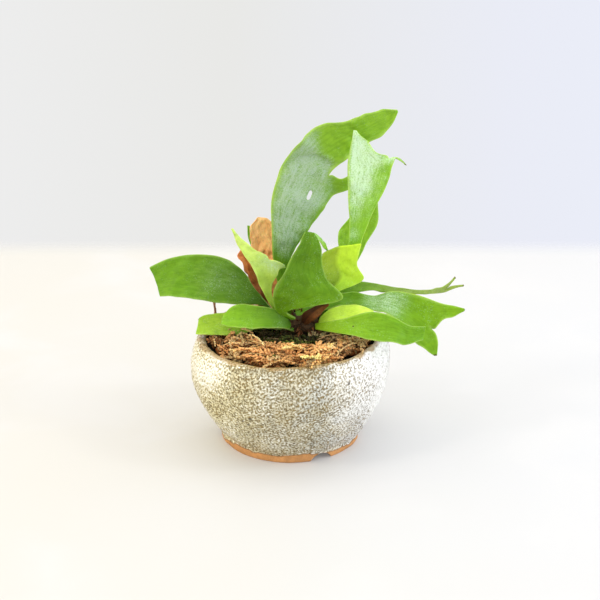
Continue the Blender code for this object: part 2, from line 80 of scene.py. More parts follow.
class FernBowlSettings(bpy.types.PropertyGroup):
    """Sizes and colours of the bowl."""

    radius: length_prop("Radius", "Greatest outer radius of the bowl", 45.5)
    height: length_prop("Height", "Height of the lip", 50.5)
    wall: length_prop("Wall", "Thickness of the wall", 5.0)
    foot_radius: length_prop("Foot radius", "Outer radius of the foot ring", 31.5)
    mark_spacing: length_prop("Mark spacing", "Distance from one glaze mark to the next", 1.3)
    mark_depth: length_prop("Mark depth", "How far the glaze has drawn back in a mark", 0.1)
    glaze: colour_prop("Glaze", "The thick pale glaze", (0.63, 0.575, 0.39))
    # Painted glint: the near-white spots where the glaze catches the light, on the thickest glaze.
    painted_glint: colour_prop("White glaze", "Where the glaze is thickest", (0.93, 0.92, 0.86))
    glaze_cool: colour_prop("Cool glaze", "The greyer clouds in the glaze", (0.62, 0.62, 0.53))
    # Painted light: the glaze's right side is whiter and cooler and its left side yellower, as the
    # side lights fall on it.
    painted_right_light: colour_prop("Bright glaze", "The whiter glaze on the right", (0.97, 0.96, 0.95))
    painted_left_light: colour_prop("Warm glaze", "The yellower glaze on the left", (0.80, 0.72, 0.38))
    mark: colour_prop("Marks", "The tan marks where the glaze has drawn back", (0.25, 0.16, 0.022))
    lip: colour_prop("Lip", "Where the glaze is thin, over the lip", (0.42, 0.25, 0.07))
    clay: colour_prop("Clay", "The bare clay of the foot", (0.51, 0.245, 0.083))


class FernMossSettings(bpy.types.PropertyGroup):
    """Amounts and colours of the moss."""

    sprigs: bpy.props.IntProperty(
        name="Sprigs", description="Sprigs in each tuft", default=68, min=1
    )
    sprig_length: length_prop("Sprig length", "Longest sprig of moss", 13.0)
    orange: colour_prop("Orange", "The orange moss against the lip", (0.97, 0.50, 0.18))
    straw: colour_prop("Straw", "The pale dry moss", (0.95, 0.74, 0.36))
    rust: colour_prop("Rust", "The browner moss", (0.42, 0.13, 0.02))
    # Old moss: dark in its own colour, and painted darker still as shade under the fronds.
    old: colour_prop("Old moss", "The dark old moss round the stem", (0.028, 0.022, 0.008))


class FernFrondSettings(bpy.types.PropertyGroup):
    """Sizes and colours of the fronds."""

    thickness: length_prop("Thickness", "Thickness of a blade at its middle", 0.9)
    edge: length_prop("Edge", "Thickness of a blade at its edge", 0.35)
    green: colour_prop("Green", "A grown frond", (0.165, 0.345, 0.012))
    young: colour_prop("Young", "A young frond", (0.40, 0.66, 0.04))
    felt: colour_prop("Felt", "The silvery hairs", (0.62, 0.80, 0.60))
    # Rim: partly the blade's own pale margin, partly a painted highlight along its edge.
    rim: colour_prop("Rim", "The pale edge of a blade", (0.62, 0.74, 0.22))
    dead: colour_prop("Dead", "Dead spots and tips", (0.07, 0.045, 0.012))
    shield: colour_prop("Shield", "The papery shields", (0.84, 0.41, 0.15))


# ---------------------------------------------------------------- shader sums


class Wire:
    """A node's output that can be added, multiplied and so on, to make Math nodes."""

    def __init__(self, finish, socket):
        self.finish = finish
        self.socket = socket

    def _sum(self, operation, a, b=0.0, clamp=False):
        return self.finish.node(
            "ShaderNodeMath", {"operation": operation, "use_clamp": clamp}, {0: a, 1: b}
        )

    def __add__(self, other):
        return self._sum("ADD", self, other)

    __radd__ = __add__

    def __sub__(self, other):
        return self._sum("SUBTRACT", self, other)

    def __rsub__(self, other):
        return self._sum("SUBTRACT", other, self)

    def __mul__(self, other):
        return self._sum("MULTIPLY", self, other)

    __rmul__ = __mul__

    def clamped(self):
        return self._sum("ADD", self, 0.0, clamp=True)

    def steps(self, low, high):
        """0 up to low, 1 from high on, and smooth between them."""
        return self.finish.node(
            "ShaderNodeMapRange",
            {"interpolation_type": "SMOOTHSTEP"},
            {"Value": self, "From Min": low, "From Max": high},
        )


class Finish:
    """A material's node tree, and the ways to add to it."""

    def __init__(self, name, **constants):
        self.material = bpy.data.materials.new(name)
        self.material.use_nodes = True
        self.tree = self.material.node_tree
        self.shader = self.tree.nodes["Principled BSDF"]
        for socket, value in constants.items():
            self.shader.inputs[socket.replace("_", " ")].default_value = value

    def node(self, kind, settings, inputs, out=0):
        """Adds a node. Settings come first, because they can change its sockets."""
        made = self.tree.nodes.new(kind)
        for key, value in settings.items():
            setattr(made, key, value)
        for key, value in inputs.items():
            socket = made.inputs[key]
            if isinstance(value, Wire):
                self.tree.links.new(value.socket, socket)
            else:
                socket.default_value = value
        return Wire(self, made.outputs[out])

    def attribute(self, name, out="Fac"):
        return self.node("ShaderNodeAttribute", {"attribute_name": name}, {}, out)

    def place(self):
        return self.node("ShaderNodeTexCoord", {}, {}, "Object")

    def noise(self, size_mm, detail=2.0, vector=None, rough=0.5, distortion=0.0):
        """Noise between about 0.2 and 0.8, with lumps of that size."""
        return self.node(
            "ShaderNodeTexNoise",
            {},
            {
                "Vector": vector or self.place(),
                "Scale": 1 / (size_mm * MM),
                "Detail": detail,
                "Roughness": rough,
                "Distortion": distortion,
            },
            "Fac",
        )

    def mix(self, factor, a, b, blend="MIX"):
        """Colour a where factor is 0, and b where it is 1."""
        settings = {"data_type": "RGBA", "blend_type": blend}
        return self.node("ShaderNodeMix", settings, {0: factor, 6: solid(a), 7: solid(b)}, 2)

    def feed(self, socket, value):
        self.tree.links.new(value.socket, self.shader.inputs[socket])

    def bump(self, height, distance_mm, strength=1.0):
        made = self.node(
            "ShaderNodeBump",
            {},
            {"Height": height, "Distance": distance_mm * MM, "Strength": strength},
            "Normal",
        )
        self.feed("Normal", made)


def solid(colour):
    """A colour with its alpha, if it isn't a link."""
    return colour if isinstance(colour, Wire) else (*colour, 1.0)


# ---------------------------------------------------------------- mesh helpers


def wake(*objects):
    """Selects only these, and makes the first one active."""
    bpy.ops.object.select_all(action="DESELECT")
    for obj in objects:
        obj.select_set(True)
    bpy.context.view_layer.objects.active = objects[0]


def points_of(obj):
    co = np.empty(len(obj.data.vertices) * 3)
    obj.data.vertices.foreach_get("co", co)
    return co.reshape(-1, 3)


def normals_of(obj):
    """Vertex normals, worked out afresh."""
    obj.data.update()
    found = np.empty(len(obj.data.vertices) * 3)
    obj.data.vertices.foreach_get("normal", found)
    return found.reshape(-1, 3)


def set_points(obj, points):
    obj.data.vertices.foreach_set("co", np.asarray(points, float).ravel())
    obj.data.update()


def to_frame(obj):
    """Turns millimetres from the bowl's axis into the part's frame."""
    set_points(obj, points_of(obj) * MM + np.array(AXIS))


def set_attribute(obj, name, values):
    """A number or a colour for each vertex."""
    values = np.asarray(values, np.float32)
    kind = "FLOAT_COLOR" if values.ndim == 2 else "FLOAT"
    found = obj.data.attributes.get(name) or obj.data.attributes.new(name, kind, "POINT")
    if kind == "FLOAT_COLOR":
        values = np.column_stack([values, np.ones(len(values), np.float32)])
        found.data.foreach_set("color", values.ravel())
    else:
        found.data.foreach_set("value", values)


def tint(obj, colour):
    """Gives every point of a mesh the same tone."""
    set_attribute(obj, "tone", np.tile(colour, (len(obj.data.vertices), 1)))


def edit(obj, *steps):
    """Runs edit-mode operators on all of a mesh. A step is a function and its arguments."""
    wake(obj)
    bpy.ops.object.mode_set(mode="EDIT")
    bpy.ops.mesh.select_all(action="SELECT")
    for operator, arguments in steps:
        operator(**arguments)
    bpy.ops.object.mode_set(mode="OBJECT")


MERGE = (bpy.ops.mesh.remove_doubles, {"threshold": 0.0005})
OUTWARD = (bpy.ops.mesh.normals_make_consistent, {"inside": False})


def join(objects):
    """Joins meshes into the first one."""
    wake(*objects)
    bpy.ops.object.join()
    return objects[0]


def apply_modifier(obj, kind, **settings):
    wake(obj)
    made = obj.modifiers.new(kind.title(), kind)
    for key, value in settings.items():
        setattr(made, key, value)
    bpy.ops.object.modifier_apply(modifier=made.name)


def finish_piece(obj, name, nodes, material):
    """Names a finished mesh, gives it its material, and ties it to the frame."""
    to_frame(obj)
    wake(obj)
    bpy.ops.object.shade_smooth()
    obj.name = name
    obj.data.name = name
    obj.data.materials.clear()
    obj.data.materials.append(material)
    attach(obj, "root")
    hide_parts(*nodes)


def smooth_step(low, high, x):
    t = np.clip((x - low) / (high - low), 0, 1)
    return t * t * (3 - 2 * t)


def ripples(points, size, seed, count=60, spread=0.25):
    """A smooth random field of about -2 to 2, whose waves are all about that long."""
    draw = np.random.default_rng(seed)
    ways = draw.normal(size=(count, 3))
    ways /= np.linalg.norm(ways, axis=1)[:, None]
    waves = 2 * math.pi / (size * draw.uniform(1 - spread, 1 + spread, count))
    starts = draw.uniform(0, 2 * math.pi, count)
    total = np.zeros(len(points))
    for way, wave, start in zip(ways, waves, starts):
        total += np.cos(points @ (way * wave) + start)
    return total * math.sqrt(2 / count)


def field(points, size, seed):
    """A coarser, cheaper field for lumps."""
    return ripples(points, size, seed, count=18, spread=0.4)


# ---------------------------------------------------------------- the bowl

FOOT_HEIGHT = 3.8
FOOT_WIDTH = 5.5
BELLY_HEIGHT = 37.0
LIP_LEAN = 2.6
FLOOR_TOP = 8.3
DRAIN_RADIUS = 5.0
NOTCHES = 3
NOTCH_WIDTH = 11.0
NOTCH_DEPTH = 3.4
NOTCH_ANGLE = -63.0
OUT_OF_ROUND = 0.5
LIP_WAVE = 0.5
GLAZE_LINE = 2.9
GLAZE_HIGH = math.radians(-95)
BOWL_STEPS = 580
# the pits: degrees round the bowl, height and size
PITS = [(-113, 26.0, 0.9), (-118, 24.0, 0.7), (-115, 22.5, 0.8), (-55, 41.0, 0.9)]
FINE_PITS = 26
FINE_STEP = 0.46
COARSE_STEP = 1.6


def bowl():
    return bpy.context.scene.fern_bowl


def outer_radius(z):
    """The bowl's outside at height z."""
    radius, height, wall = bowl().radius / MM, bowl().height / MM, bowl().wall / MM
    foot = bowl().foot_radius / MM
    if z < BELLY_HEIGHT:
        rise = (z - FOOT_HEIGHT) / (BELLY_HEIGHT - FOOT_HEIGHT)
        return foot + (radius - foot) * math.sin(max(rise, 0) * math.pi / 2) ** 0.9
    rise = (z - BELLY_HEIGHT) / (height - wall / 2 - BELLY_HEIGHT)
    return radius - LIP_LEAN * rise**2


def pushed(points):
    """Points of the bowl after the thrower's hand: out of round, and wavy towards the lip."""
    x, y, z = points.T
    angle = np.arctan2(y, x)
    up = z / (bowl().height / MM)
    share = up * (np.hypot(x, y) / (bowl().radius / MM)) ** 2
    out = OUT_OF_ROUND * share * (np.cos(2 * angle - 0.8) + 0.6 * np.cos(3 * angle + 0.5))
    lift = LIP_WAVE * share * up**3 * (np.cos(angle - 0.3) + 0.5 * np.cos(2 * angle + 1.9))
    return points + np.column_stack([out * np.cos(angle), out * np.sin(angle), lift])


def stepped(corners, step):
    """Points every step or so along a line of corners, without the last one."""
    found = []
    for a, b in zip(corners, corners[1:]):
        count = max(1, round(math.dist(a, b) / step))
        start, way = np.array(a), np.array(b) - np.array(a)
        found += [tuple(start + way * i / count) for i in range(count)]
    return found


def bowl_section():
    """The bowl's closed section, as (radius, height): fine outside, coarser inside."""
    wall = bowl().wall / MM
    foot = bowl().foot_radius / MM
    rim = bowl().height / MM - wall / 2
    lip_centre = outer_radius(rim) - wall / 2
    outside = [(outer_radius(z), z) for z in np.linspace(FOOT_HEIGHT, rim, 40)]
    lip = [
        (lip_centre + wall / 2 * math.cos(a), rim + wall / 2 * math.sin(a))
        for a in np.linspace(0, math.pi, 13)
    ]
    inside = [(outer_radius(z) - wall, z) for z in np.linspace(rim, FLOOR_TOP + 2, 9)]
    floor = [
        (outer_radius(FLOOR_TOP) - wall - 3, FLOOR_TOP),
        (DRAIN_RADIUS, FLOOR_TOP),
        (DRAIN_RADIUS, FOOT_HEIGHT),
        (foot - FOOT_WIDTH - 0.4, FOOT_HEIGHT),
        (foot - FOOT_WIDTH, FOOT_HEIGHT - 0.4),
        (foot - FOOT_WIDTH, 0.5),
        (foot - FOOT_WIDTH + 0.5, 0.0),
        (foot - 0.9, 0.0),
        (foot - 0.35, 0.3),
        (foot - 0.1, 0.9),
        (foot, FOOT_HEIGHT),
    ]
    return (
        stepped(outside, FINE_STEP)
        + stepped(lip, FINE_STEP * 1.5)
        + stepped(inside, COARSE_STEP * 2)
        + stepped([inside[-1], *floor[:5]], COARSE_STEP * 2)
        + stepped(floor[4:], 0.7)
    )


def notch_height(x, y):
    """How high the foot is cut away there."""
    half = NOTCH_WIDTH / 2
    radius = (half**2 + NOTCH_DEPTH**2) / (2 * NOTCH_DEPTH)
    around = np.degrees(np.arctan2(y, x)) - NOTCH_ANGLE
    away = (around + 180 / NOTCHES) % (360 / NOTCHES) - 180 / NOTCHES
    off = np.hypot(x, y) * np.radians(away)
    arch = np.sqrt(np.clip(radius**2 - off**2, 0, None)) - (radius - NOTCH_DEPTH)
    return np.where(np.abs(off) < half, arch, 0.0)


def glaze_finish():
    """Thick pale glaze with tan marks over a bare clay foot."""
    s = bowl()
    f = Finish("glazed_stoneware", Specular_IOR_Level=0.5, Coat_Roughness=0.12)
    grain = f.noise(0.35, 3.0, rough=0.7)
    fine = f.noise(0.62, 1.0)
    crawl = f.attribute("crawl") * 0.55 + (fine - 0.5) * 4.2 + (grain - 0.5) * 1.0
    mark = crawl.steps(-0.35, 0.85)
    deep = crawl.steps(0.8, 1.8)
    glaze = f.attribute("glaze")
    lip = f.attribute("lip")
    pit = f.attribute("pit")
    cloud = f.noise(14.0, 3.0).steps(0.42, 0.66)
    body = f.mix(cloud, s.glaze, s.glaze_cool)
    body = f.mix((grain - 0.35).clamped() * 0.8, body, [c * 0.72 for c in s.glaze])
    # Painted light: whiter and cooler towards the right, yellower towards the left, as the side
    # lights fall on it.
    side = f.node("ShaderNodeSeparateXYZ", {}, {0: f.place()}, 0)
    body = f.mix(side.steps(0.0, 0.036) * 0.85, body, s.painted_right_light)
    body = f.mix((0 - side).steps(0.008, 0.045) * 0.75, body, s.painted_left_light)
    # Painted glint: near-white glaze between the marks and where they are sparse, on the upper
    # left and the right; partly the thick glaze's own white, partly a painted glint.
    thick = f.attribute("thick")
    glint_mask = ((0 - crawl) * 0.5 + thick * 0.6).steps(0.25, 0.95)
    body = f.mix(glint_mask * 0.9, body, s.painted_glint)
    body = f.mix(lip * 0.85, body, s.lip)
    tan = f.mix(f.noise(3.0, 2.0).steps(0.4, 0.62), s.mark, [c * 0.6 for c in s.mark])
    body = f.mix(mark * (0.85 - thick.steps(0.2, 0.9) * 0.5), body, tan)
    body = f.mix(deep * 0.6, body, [c * 0.5 for c in s.mark])
    body = f.mix(pit, body, [c * 0.18 for c in s.mark])
    specks = f.noise(0.5, 2.0, rough=0.8).steps(0.62, 0.72)
    clay = f.mix(f.noise(4.0, 4.0).steps(0.35, 0.7), s.clay, [c * 1.25 for c in s.clay])
    clay = f.mix(specks * 0.6, clay, [c * 0.4 for c in s.clay])
    # Painted shade: the clay under the bowl, inside the foot ring, is painted dark where the bowl
    # shades it.
    clay = f.mix(f.attribute("inside") * 0.85, clay, [c * 0.2 for c in s.clay])
    seam = glaze.steps(0.05, 0.4) * (1 - glaze.steps(0.5, 0.95))
    clay = f.mix(seam * 0.8, clay, [c * 0.45 for c in s.clay])
    f.feed("Base Color", f.mix(glaze.steps(0.4, 0.8), clay, body))
    f.feed("Roughness", 0.85 - glaze * (0.52 - mark * 0.25 - grain * 0.1))
    f.feed("Coat Weight", glaze * (1 - mark * 0.7) * 0.7)
    f.bump(grain * 0.4 + fine * 1.2 - mark * glaze * 1.4, 0.3)
    return f.material


def make_bowl():
    section = bowl_section()
    bpy.ops.mesh.primitive_circle_add(vertices=len(section), fill_type="NOTHING")
    obj = bpy.context.active_object
    set_points(obj, [(r, 0.0, z) for r, z in section])
    turn = {"steps": BOWL_STEPS, "angle": 2 * math.pi, "center": (0, 0, 0), "axis": (0, 0, 1)}
    edit(obj, (bpy.ops.mesh.spin, turn), MERGE, OUTWARD)
    points = points_of(obj)
    normals = normals_of(obj)
    x, y, z = points.T
    angle = np.arctan2(y, x)
    away = np.hypot(x, y)
    height = bowl().height / MM
    inner = np.array([outer_radius(h) for h in np.linspace(0, height, 200)])
    wall_there = np.interp(z, np.linspace(0, height, 200), inner)
    outside = smooth_step(bowl().wall / MM * 0.75, bowl().wall / MM * 0.25, wall_there - away)
    outside = np.where(z > height - 4, 1.0, outside) * (z > 0.2)
    line = GLAZE_LINE - 0.9 + 1.8 * np.clip(np.cos(angle - GLAZE_HIGH), 0, 1) ** 2
    line += 0.3 * field(points * (1, 1, 0), 16.0, 3) + 0.25 * field(points, 5.0, 4)
    glaze = smooth_step(-0.35, 0.35, z - line) * (outside > 0.02) + (outside <= 0.02) * (z > 10)
    # Marks are sparse on the right and the upper left; the same mask paints the glaze there near
    # white as a glint.
    sparse_marks_and_glint = 0.22 * field(points, 24.0, 5)
    sparse_marks_and_glint += 0.8 * smooth_step(0.35, 0.9, x / away) * smooth_step(2, 30, z)
    sparse_marks_and_glint += 0.55 * smooth_step(-0.45, -0.7, x / away) * smooth_step(30, 42, z)
    sparse_marks_and_glint += 0.35 * smooth_step(-0.3, -0.8, x / away) * smooth_step(30, 10, z)
    crawl = ripples(points, bowl().mark_spacing / MM, 6, count=90, spread=0.22) * 1.15 - sparse_marks_and_glint
    lip = smooth_step(height - 1.1, height - 0.3, z + 0.3 * field(points, 7.0, 7))
    front = np.clip(np.cos(angle - GLAZE_HIGH), 0, 1) ** 8
    crawl += 0.6 * front * smooth_step(height - 6, height - 1, z)
    lip = np.maximum(lip, (outside <= 0.02) * (z > 10))
    crawl -= lip * 0.25
    pit = np.zeros(len(points))
    draw = random.Random(11)
    pits = list(PITS)
    for _ in range(FINE_PITS):
        pits.append((draw.uniform(0, 360), draw.uniform(8, 44), draw.uniform(0.35, 0.8)))
    for degrees, h, size in pits:
        r = outer_radius(h)
        a = math.radians(degrees)
        gap = np.linalg.norm(points - [r * math.cos(a), r * math.sin(a), h], axis=1)
        pit = np.maximum(pit, smooth_step(size, size * 0.4, gap))
    lump = 0.28 * field(points, 24.0, 8) + 0.05 * field(points, 3.2, 9)
    marks = smooth_step(0.0, 0.9, crawl) * glaze
    rise = outside * (lump + glaze * 0.3 - marks * (bowl().mark_depth / MM) - pit * 0.35)
    points = pushed(points + normals * rise[:, None])
    foot = (z < FOOT_HEIGHT - 0.01) & (away > bowl().foot_radius / MM - FOOT_WIDTH - 0.1)
    cut = notch_height(x, y)
    points[:, 2] = np.where(foot | (z < cut), np.maximum(points[:, 2], cut), points[:, 2])
    points[:, 2] = np.maximum(points[:, 2], 0.0)
    set_points(obj, points)
    # Painted shade: marks the clay under the bowl, inside the foot ring, to be painted dark.
    inside = (away < bowl().foot_radius / MM - 1.5) * (z < FOOT_HEIGHT + 0.5) * 1.0
    # The thick attribute carries both the sparse marks and the painted glint.
    values = {"crawl": crawl, "glaze": glaze, "lip": lip, "pit": pit, "thick": sparse_marks_and_glint}
    values["inside"] = inside
    for name, numbers in values.items():
        set_attribute(obj, name, numbers)
    finish_piece(obj, "Bowl", ["pot"], glaze_finish())


# ---------------------------------------------------------------- the moss

GAP = 0.5
MOSS_BELOW_LIP = 5.0
TUFTS = 9
TUFT_WIDTH = 14.0
TUFT_HEIGHT = 4.0
FIRST_TUFT = -1.2
CROWN = (5.0, -1.0)
CROWN_RISE = 10.0
RHIZOME = np.array([20.0, 13.0, 10.0]) / 2
OLD_SPRIGS = 260
RHIZOME_SCALES = 150
STIPE_PLACE = (-35, 6)
STIPE_RADIUS = 0.8
STIPE_RISE = 13  # its top above the lip
STIPE_STEPS = 12
LEAFLETS = 12
SPRIG_SHAPES = 3


def moss():
    return bpy.context.scene.fern_moss


def moss_edge():
    """(radius, height) of the moss ball's upper edge."""
    height = bowl().height / MM - MOSS_BELOW_LIP
    return outer_radius(height) - bowl().wall / MM - GAP, height


def moss_top(radius):
    """Height of the moss ball's dome."""
    edge_radius, edge_height = moss_edge()
    seat = bowl().height / MM + CROWN_RISE - 2 * RHIZOME[2] - GAP
    return edge_height + (seat - edge_height) * (1 - (radius / edge_radius) ** 2)


def moss_finish(name, roughness):
    """Dry moss, in the colour that each sprig carries."""
    f = Finish(name, Specular_IOR_Level=0.15, Subsurface_Weight=0.12, Subsurface_Scale=0.001)
    fleck = f.noise(0.9, 3.0)
    tone = f.attribute("tone", "Color")
    dark = f.mix(1.0, tone, (0.45, 0.38, 0.32), "MULTIPLY")
    light = f.mix(1.0, tone, (1.35, 1.3, 1.2), "MULTIPLY")
    body = f.mix(fleck.steps(0.36, 0.5), dark, tone)
    f.feed("Base Color", f.mix(fleck.steps(0.55, 0.75), body, light))
    f.feed("Roughness", roughness + fleck * 0.15)
    f.bump(f.noise(0.4, 2.0), 0.1)
    return f.material


def make_sprig(draw):
    """One sprig of moss, 1 long along X: a thin stalk with plump leaflets all along it."""
    upright = (0, math.pi / 2, 0)
    bpy.ops.mesh.primitive_cone_add(
        vertices=3, radius1=0.045, radius2=0.02, depth=1.0, location=(0.5, 0, 0), rotation=upright
    )
    pieces = [bpy.context.active_object]
    for i in range(LEAFLETS):
        share = i / (LEAFLETS - 1)
        reach = (0.05 + 0.06 * math.sin(math.pi * (0.15 + 0.75 * share))) * draw.uniform(0.7, 1.2)
        turn = (-1 if i % 2 else 1) * math.radians(70 - 35 * share + draw.uniform(-22, 22))
        way = Vector((math.cos(turn), math.sin(turn), draw.uniform(-0.1, 0.7)))
        bpy.ops.mesh.primitive_cone_add(
            vertices=4,
            radius1=0.075,
            radius2=0.036,
            depth=2 * reach,
            location=Vector((0.04 + 0.9 * share, 0, 0)) + way * reach,
        )
        leaf = bpy.context.active_object
        leaf.rotation_mode = "QUATERNION"
        leaf.rotation_quaternion = way.to_track_quat("Z", "X")
        pieces.append(leaf)
    obj = join(pieces)
    bpy.ops.object.transform_apply(location=True, rotation=True, scale=True)
    edit(obj, OUTWARD)
    obj.name = "sprig"
    return obj


def lay(templates, spots):
    """Copies of the templates, in turn, one for each spot.

    A spot is where the copy starts, its heading, pitch and roll in radians, its length and width,
    how far it bends down, and its colour.
    """
    copies = []
    for i, (start, heading, pitch, roll, length, width, bend, colour) in enumerate(spots):
        template = templates[i % len(templates)]
        shape = points_of(template)
        obj = template.copy()
        obj.data = template.data.copy()
        bpy.context.scene.collection.objects.link(obj)
        x, y, z = shape.T
        cos, sin = width * math.cos(roll), width * math.sin(roll)
        y, z = y * cos - z * sin, y * sin + z * cos
        angle = pitch - bend * x
        middle = pitch - bend * x / 2
        px = length * x * np.cos(middle) - z * np.sin(angle)
        pz = length * x * np.sin(middle) + z * np.cos(angle)
        turned = np.column_stack(
            [
                px * math.cos(heading) - y * math.sin(heading),
                px * math.sin(heading) + y * math.cos(heading),
                pz,
            ]
        )
        set_points(obj, turned + np.array(start))
        tint(obj, colour)
        copies.append(obj)
    return copies


def remove(objects):
    for obj in objects:
        bpy.data.objects.remove(obj)


def blended(colours, shares):
    return sum(np.array(c) * s for c, s in zip(colours, shares)) / sum(shares)


def tuft_spots(draw, i):
    """Where the sprigs of a tuft lie, with a low layer and a loose top layer."""
    share = 2 * math.pi / TUFTS
    outer = moss_edge()[0] - OUT_OF_ROUND * 2
    s = moss()
    spots = []
    straws = {7: 0.55, 6: 0.5, 1: 0.35}.get(i, 0.15)
    # Painted light: some tufts are painted brighter than the rest, the front ones most, as the
    # light falls on them.
    light = {0: 1.35, 8: 1.0, 1: 0.75}.get(i, 0.95)
    for n in range(s.sprigs):
        top = n / s.sprigs
        radius = outer - TUFT_WIDTH * draw.uniform(0.06, 1.08)
        angle = FIRST_TUFT + share * (i + draw.uniform(-0.48, 0.48))
        length = s.sprig_length / MM * draw.uniform(0.5, 1.0)
        heading = angle + math.pi / 2 + draw.uniform(-1.1, 1.1) + math.pi * draw.randint(0, 1)
        start = np.array([radius * math.cos(angle), radius * math.sin(angle)])
        start -= length / 2 * np.array([math.cos(heading), math.sin(heading)])
        reach = np.hypot(*start)
        if reach > outer - 1.5:
            start *= (outer - 1.5) / reach
        height = moss_top(np.hypot(*start)) + 0.5 + 3.3 * top + draw.uniform(0, 0.6)
        tone = draw.random()
        straw = 1.0 if tone < straws else 0.1
        rust = 2.5 * (1 - top) if tone > 0.6 else 0.1
        colour = blended((s.orange, s.straw, s.rust), (1.0, straw * 1.8, rust))
        # Painted shade: the lower sprigs are darker, as shade falls between the ones above them.
        colour = np.clip(colour * draw.uniform(0.6, 1.25) * (0.28 + 0.85 * top) * light, 0, 1)
        bend = draw.uniform(0.2, 0.9)
        width = length * draw.uniform(0.75, 1.05)
        if straw > 0.5 and draw.random() < 0.6:
            length, width, bend = length * 1.25, width * 0.4, bend + 0.8
        spots.append(
            (
                (*start, height),
                heading,
                bend / 2 + draw.uniform(-0.25, 0.3),
                draw.uniform(-0.5, 0.5),
                length,
                width,
                bend,
                colour,
            )
        )
    return spots


def make_tufts():
    """The tufts of orange moss against the lip."""
    draw = random.Random(21)
    sprigs = [make_sprig(draw) for _ in range(SPRIG_SHAPES)]
    material = moss_finish("sphagnum", 0.75)
    share = 2 * math.pi / TUFTS
    outer = moss_edge()[0] - OUT_OF_ROUND * 2
    for i in range(TUFTS):
        bpy.ops.mesh.primitive_uv_sphere_add(segments=28, ring_count=14, radius=1.0)
        pad = bpy.context.active_object
        u, v, w = points_of(pad).T
        radius = outer - TUFT_WIDTH / 2 * (1 + 0.9 * v * np.sqrt(1 - 0.35 * u * u))
        angle = FIRST_TUFT + share * (i + 0.5 * 0.9 * u)
        height = moss_top(radius) + GAP + (TUFT_HEIGHT * 0.36) * (1 + w)
        points = np.column_stack([radius * np.cos(angle), radius * np.sin(angle), height])
        points[:, 2] += 0.5 * field(points, 4.0, 30 + i) * (w + 1) / 2
        set_points(pad, pushed(points))
        tint(pad, np.array(moss().rust) * 0.4)
        copies = lay(sprigs, tuft_spots(draw, i))
        obj = join([pad, *copies])
        name = f"moss_tuft_{i + 1}"
        finish_piece(obj, f"Moss_tuft_{i + 1}", [name], material)
    remove(sprigs)


def make_root_ball():
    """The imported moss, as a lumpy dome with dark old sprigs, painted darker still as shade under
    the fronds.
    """
    draw = random.Random(22)
    bpy.ops.mesh.primitive_uv_sphere_add(segments=120, ring_count=72, radius=1.0)
    ball = bpy.context.active_object
    x, y, w = points_of(ball).T
    edge_radius, edge_height = moss_edge()
    away = np.hypot(x, y)
    angle = np.arctan2(y, x)
    low = FLOOR_TOP + GAP
    down = np.clip(-w, 0, 1)
    side_z = edge_height + (low - edge_height) * np.minimum(down / 0.7, 1)
    table = np.linspace(low, edge_height, 60)
    wall = np.array([outer_radius(h) for h in table]) - bowl().wall / MM - GAP
    wall[table < FLOOR_TOP + 2] = np.minimum(
        wall[table < FLOOR_TOP + 2], outer_radius(FLOOR_TOP) - bowl().wall / MM - 3 - GAP
    )
    side_r = np.interp(side_z, table, wall) * np.where(down > 0.7, away / math.sqrt(1 - 0.49), 1)
    upper = w > 0
    radius = np.where(upper, away * edge_radius, side_r)
    height = np.where(upper, moss_top(away * edge_radius), side_z)
    points = np.column_stack([radius * np.cos(angle), radius * np.sin(angle), height])
    lumps = 0.55 * field(points, 6.0, 40) + 0.3 * field(points, 2.5, 41)
    points[:, 2] += np.where(upper, lumps * smooth_step(1, 0.9, away) - 0.4, 0)
    set_points(ball, pushed(points))
    # Painted shade: the dome and its old sprigs take the near-black old moss colour, as shade
    # under the fronds.
    tint(ball, np.array(moss().old) * 0.8)
    spots = []
    for _ in range(OLD_SPRIGS):
        reach = 27 * math.sqrt(draw.uniform(0.02, 1))
        a = draw.uniform(0, 2 * math.pi)
        heading = draw.uniform(0, 2 * math.pi)
        length = draw.uniform(6, 12)
        start = np.array([reach * math.cos(a), reach * math.sin(a)])
        kind = draw.random()
        colour = np.array(moss().old) * draw.uniform(0.5, 2.6)
        colour = colour * (1.6, 2.6, 1.2) if kind < 0.3 else colour
        colour = np.array(moss().straw) * draw.uniform(0.2, 0.6) if kind > 0.85 else colour
        bend = draw.uniform(0.3, 1.2)
        spots.append(
            (
                (*start, moss_top(reach) + draw.uniform(-0.3, 1.6)),
                heading,
                bend / 2 + draw.uniform(0, 0.3),
                draw.uniform(-1, 1),
                length,
                length * draw.uniform(0.6, 0.9),
                bend,
                colour,
            )
        )
    sprigs = [make_sprig(draw) for _ in range(SPRIG_SHAPES)]
    copies = lay(sprigs, spots)
    remove(sprigs)
    obj = join([ball, *copies])
    finish_piece(obj, "Root_ball", ["root_ball"], moss_finish("root_moss", 0.85))


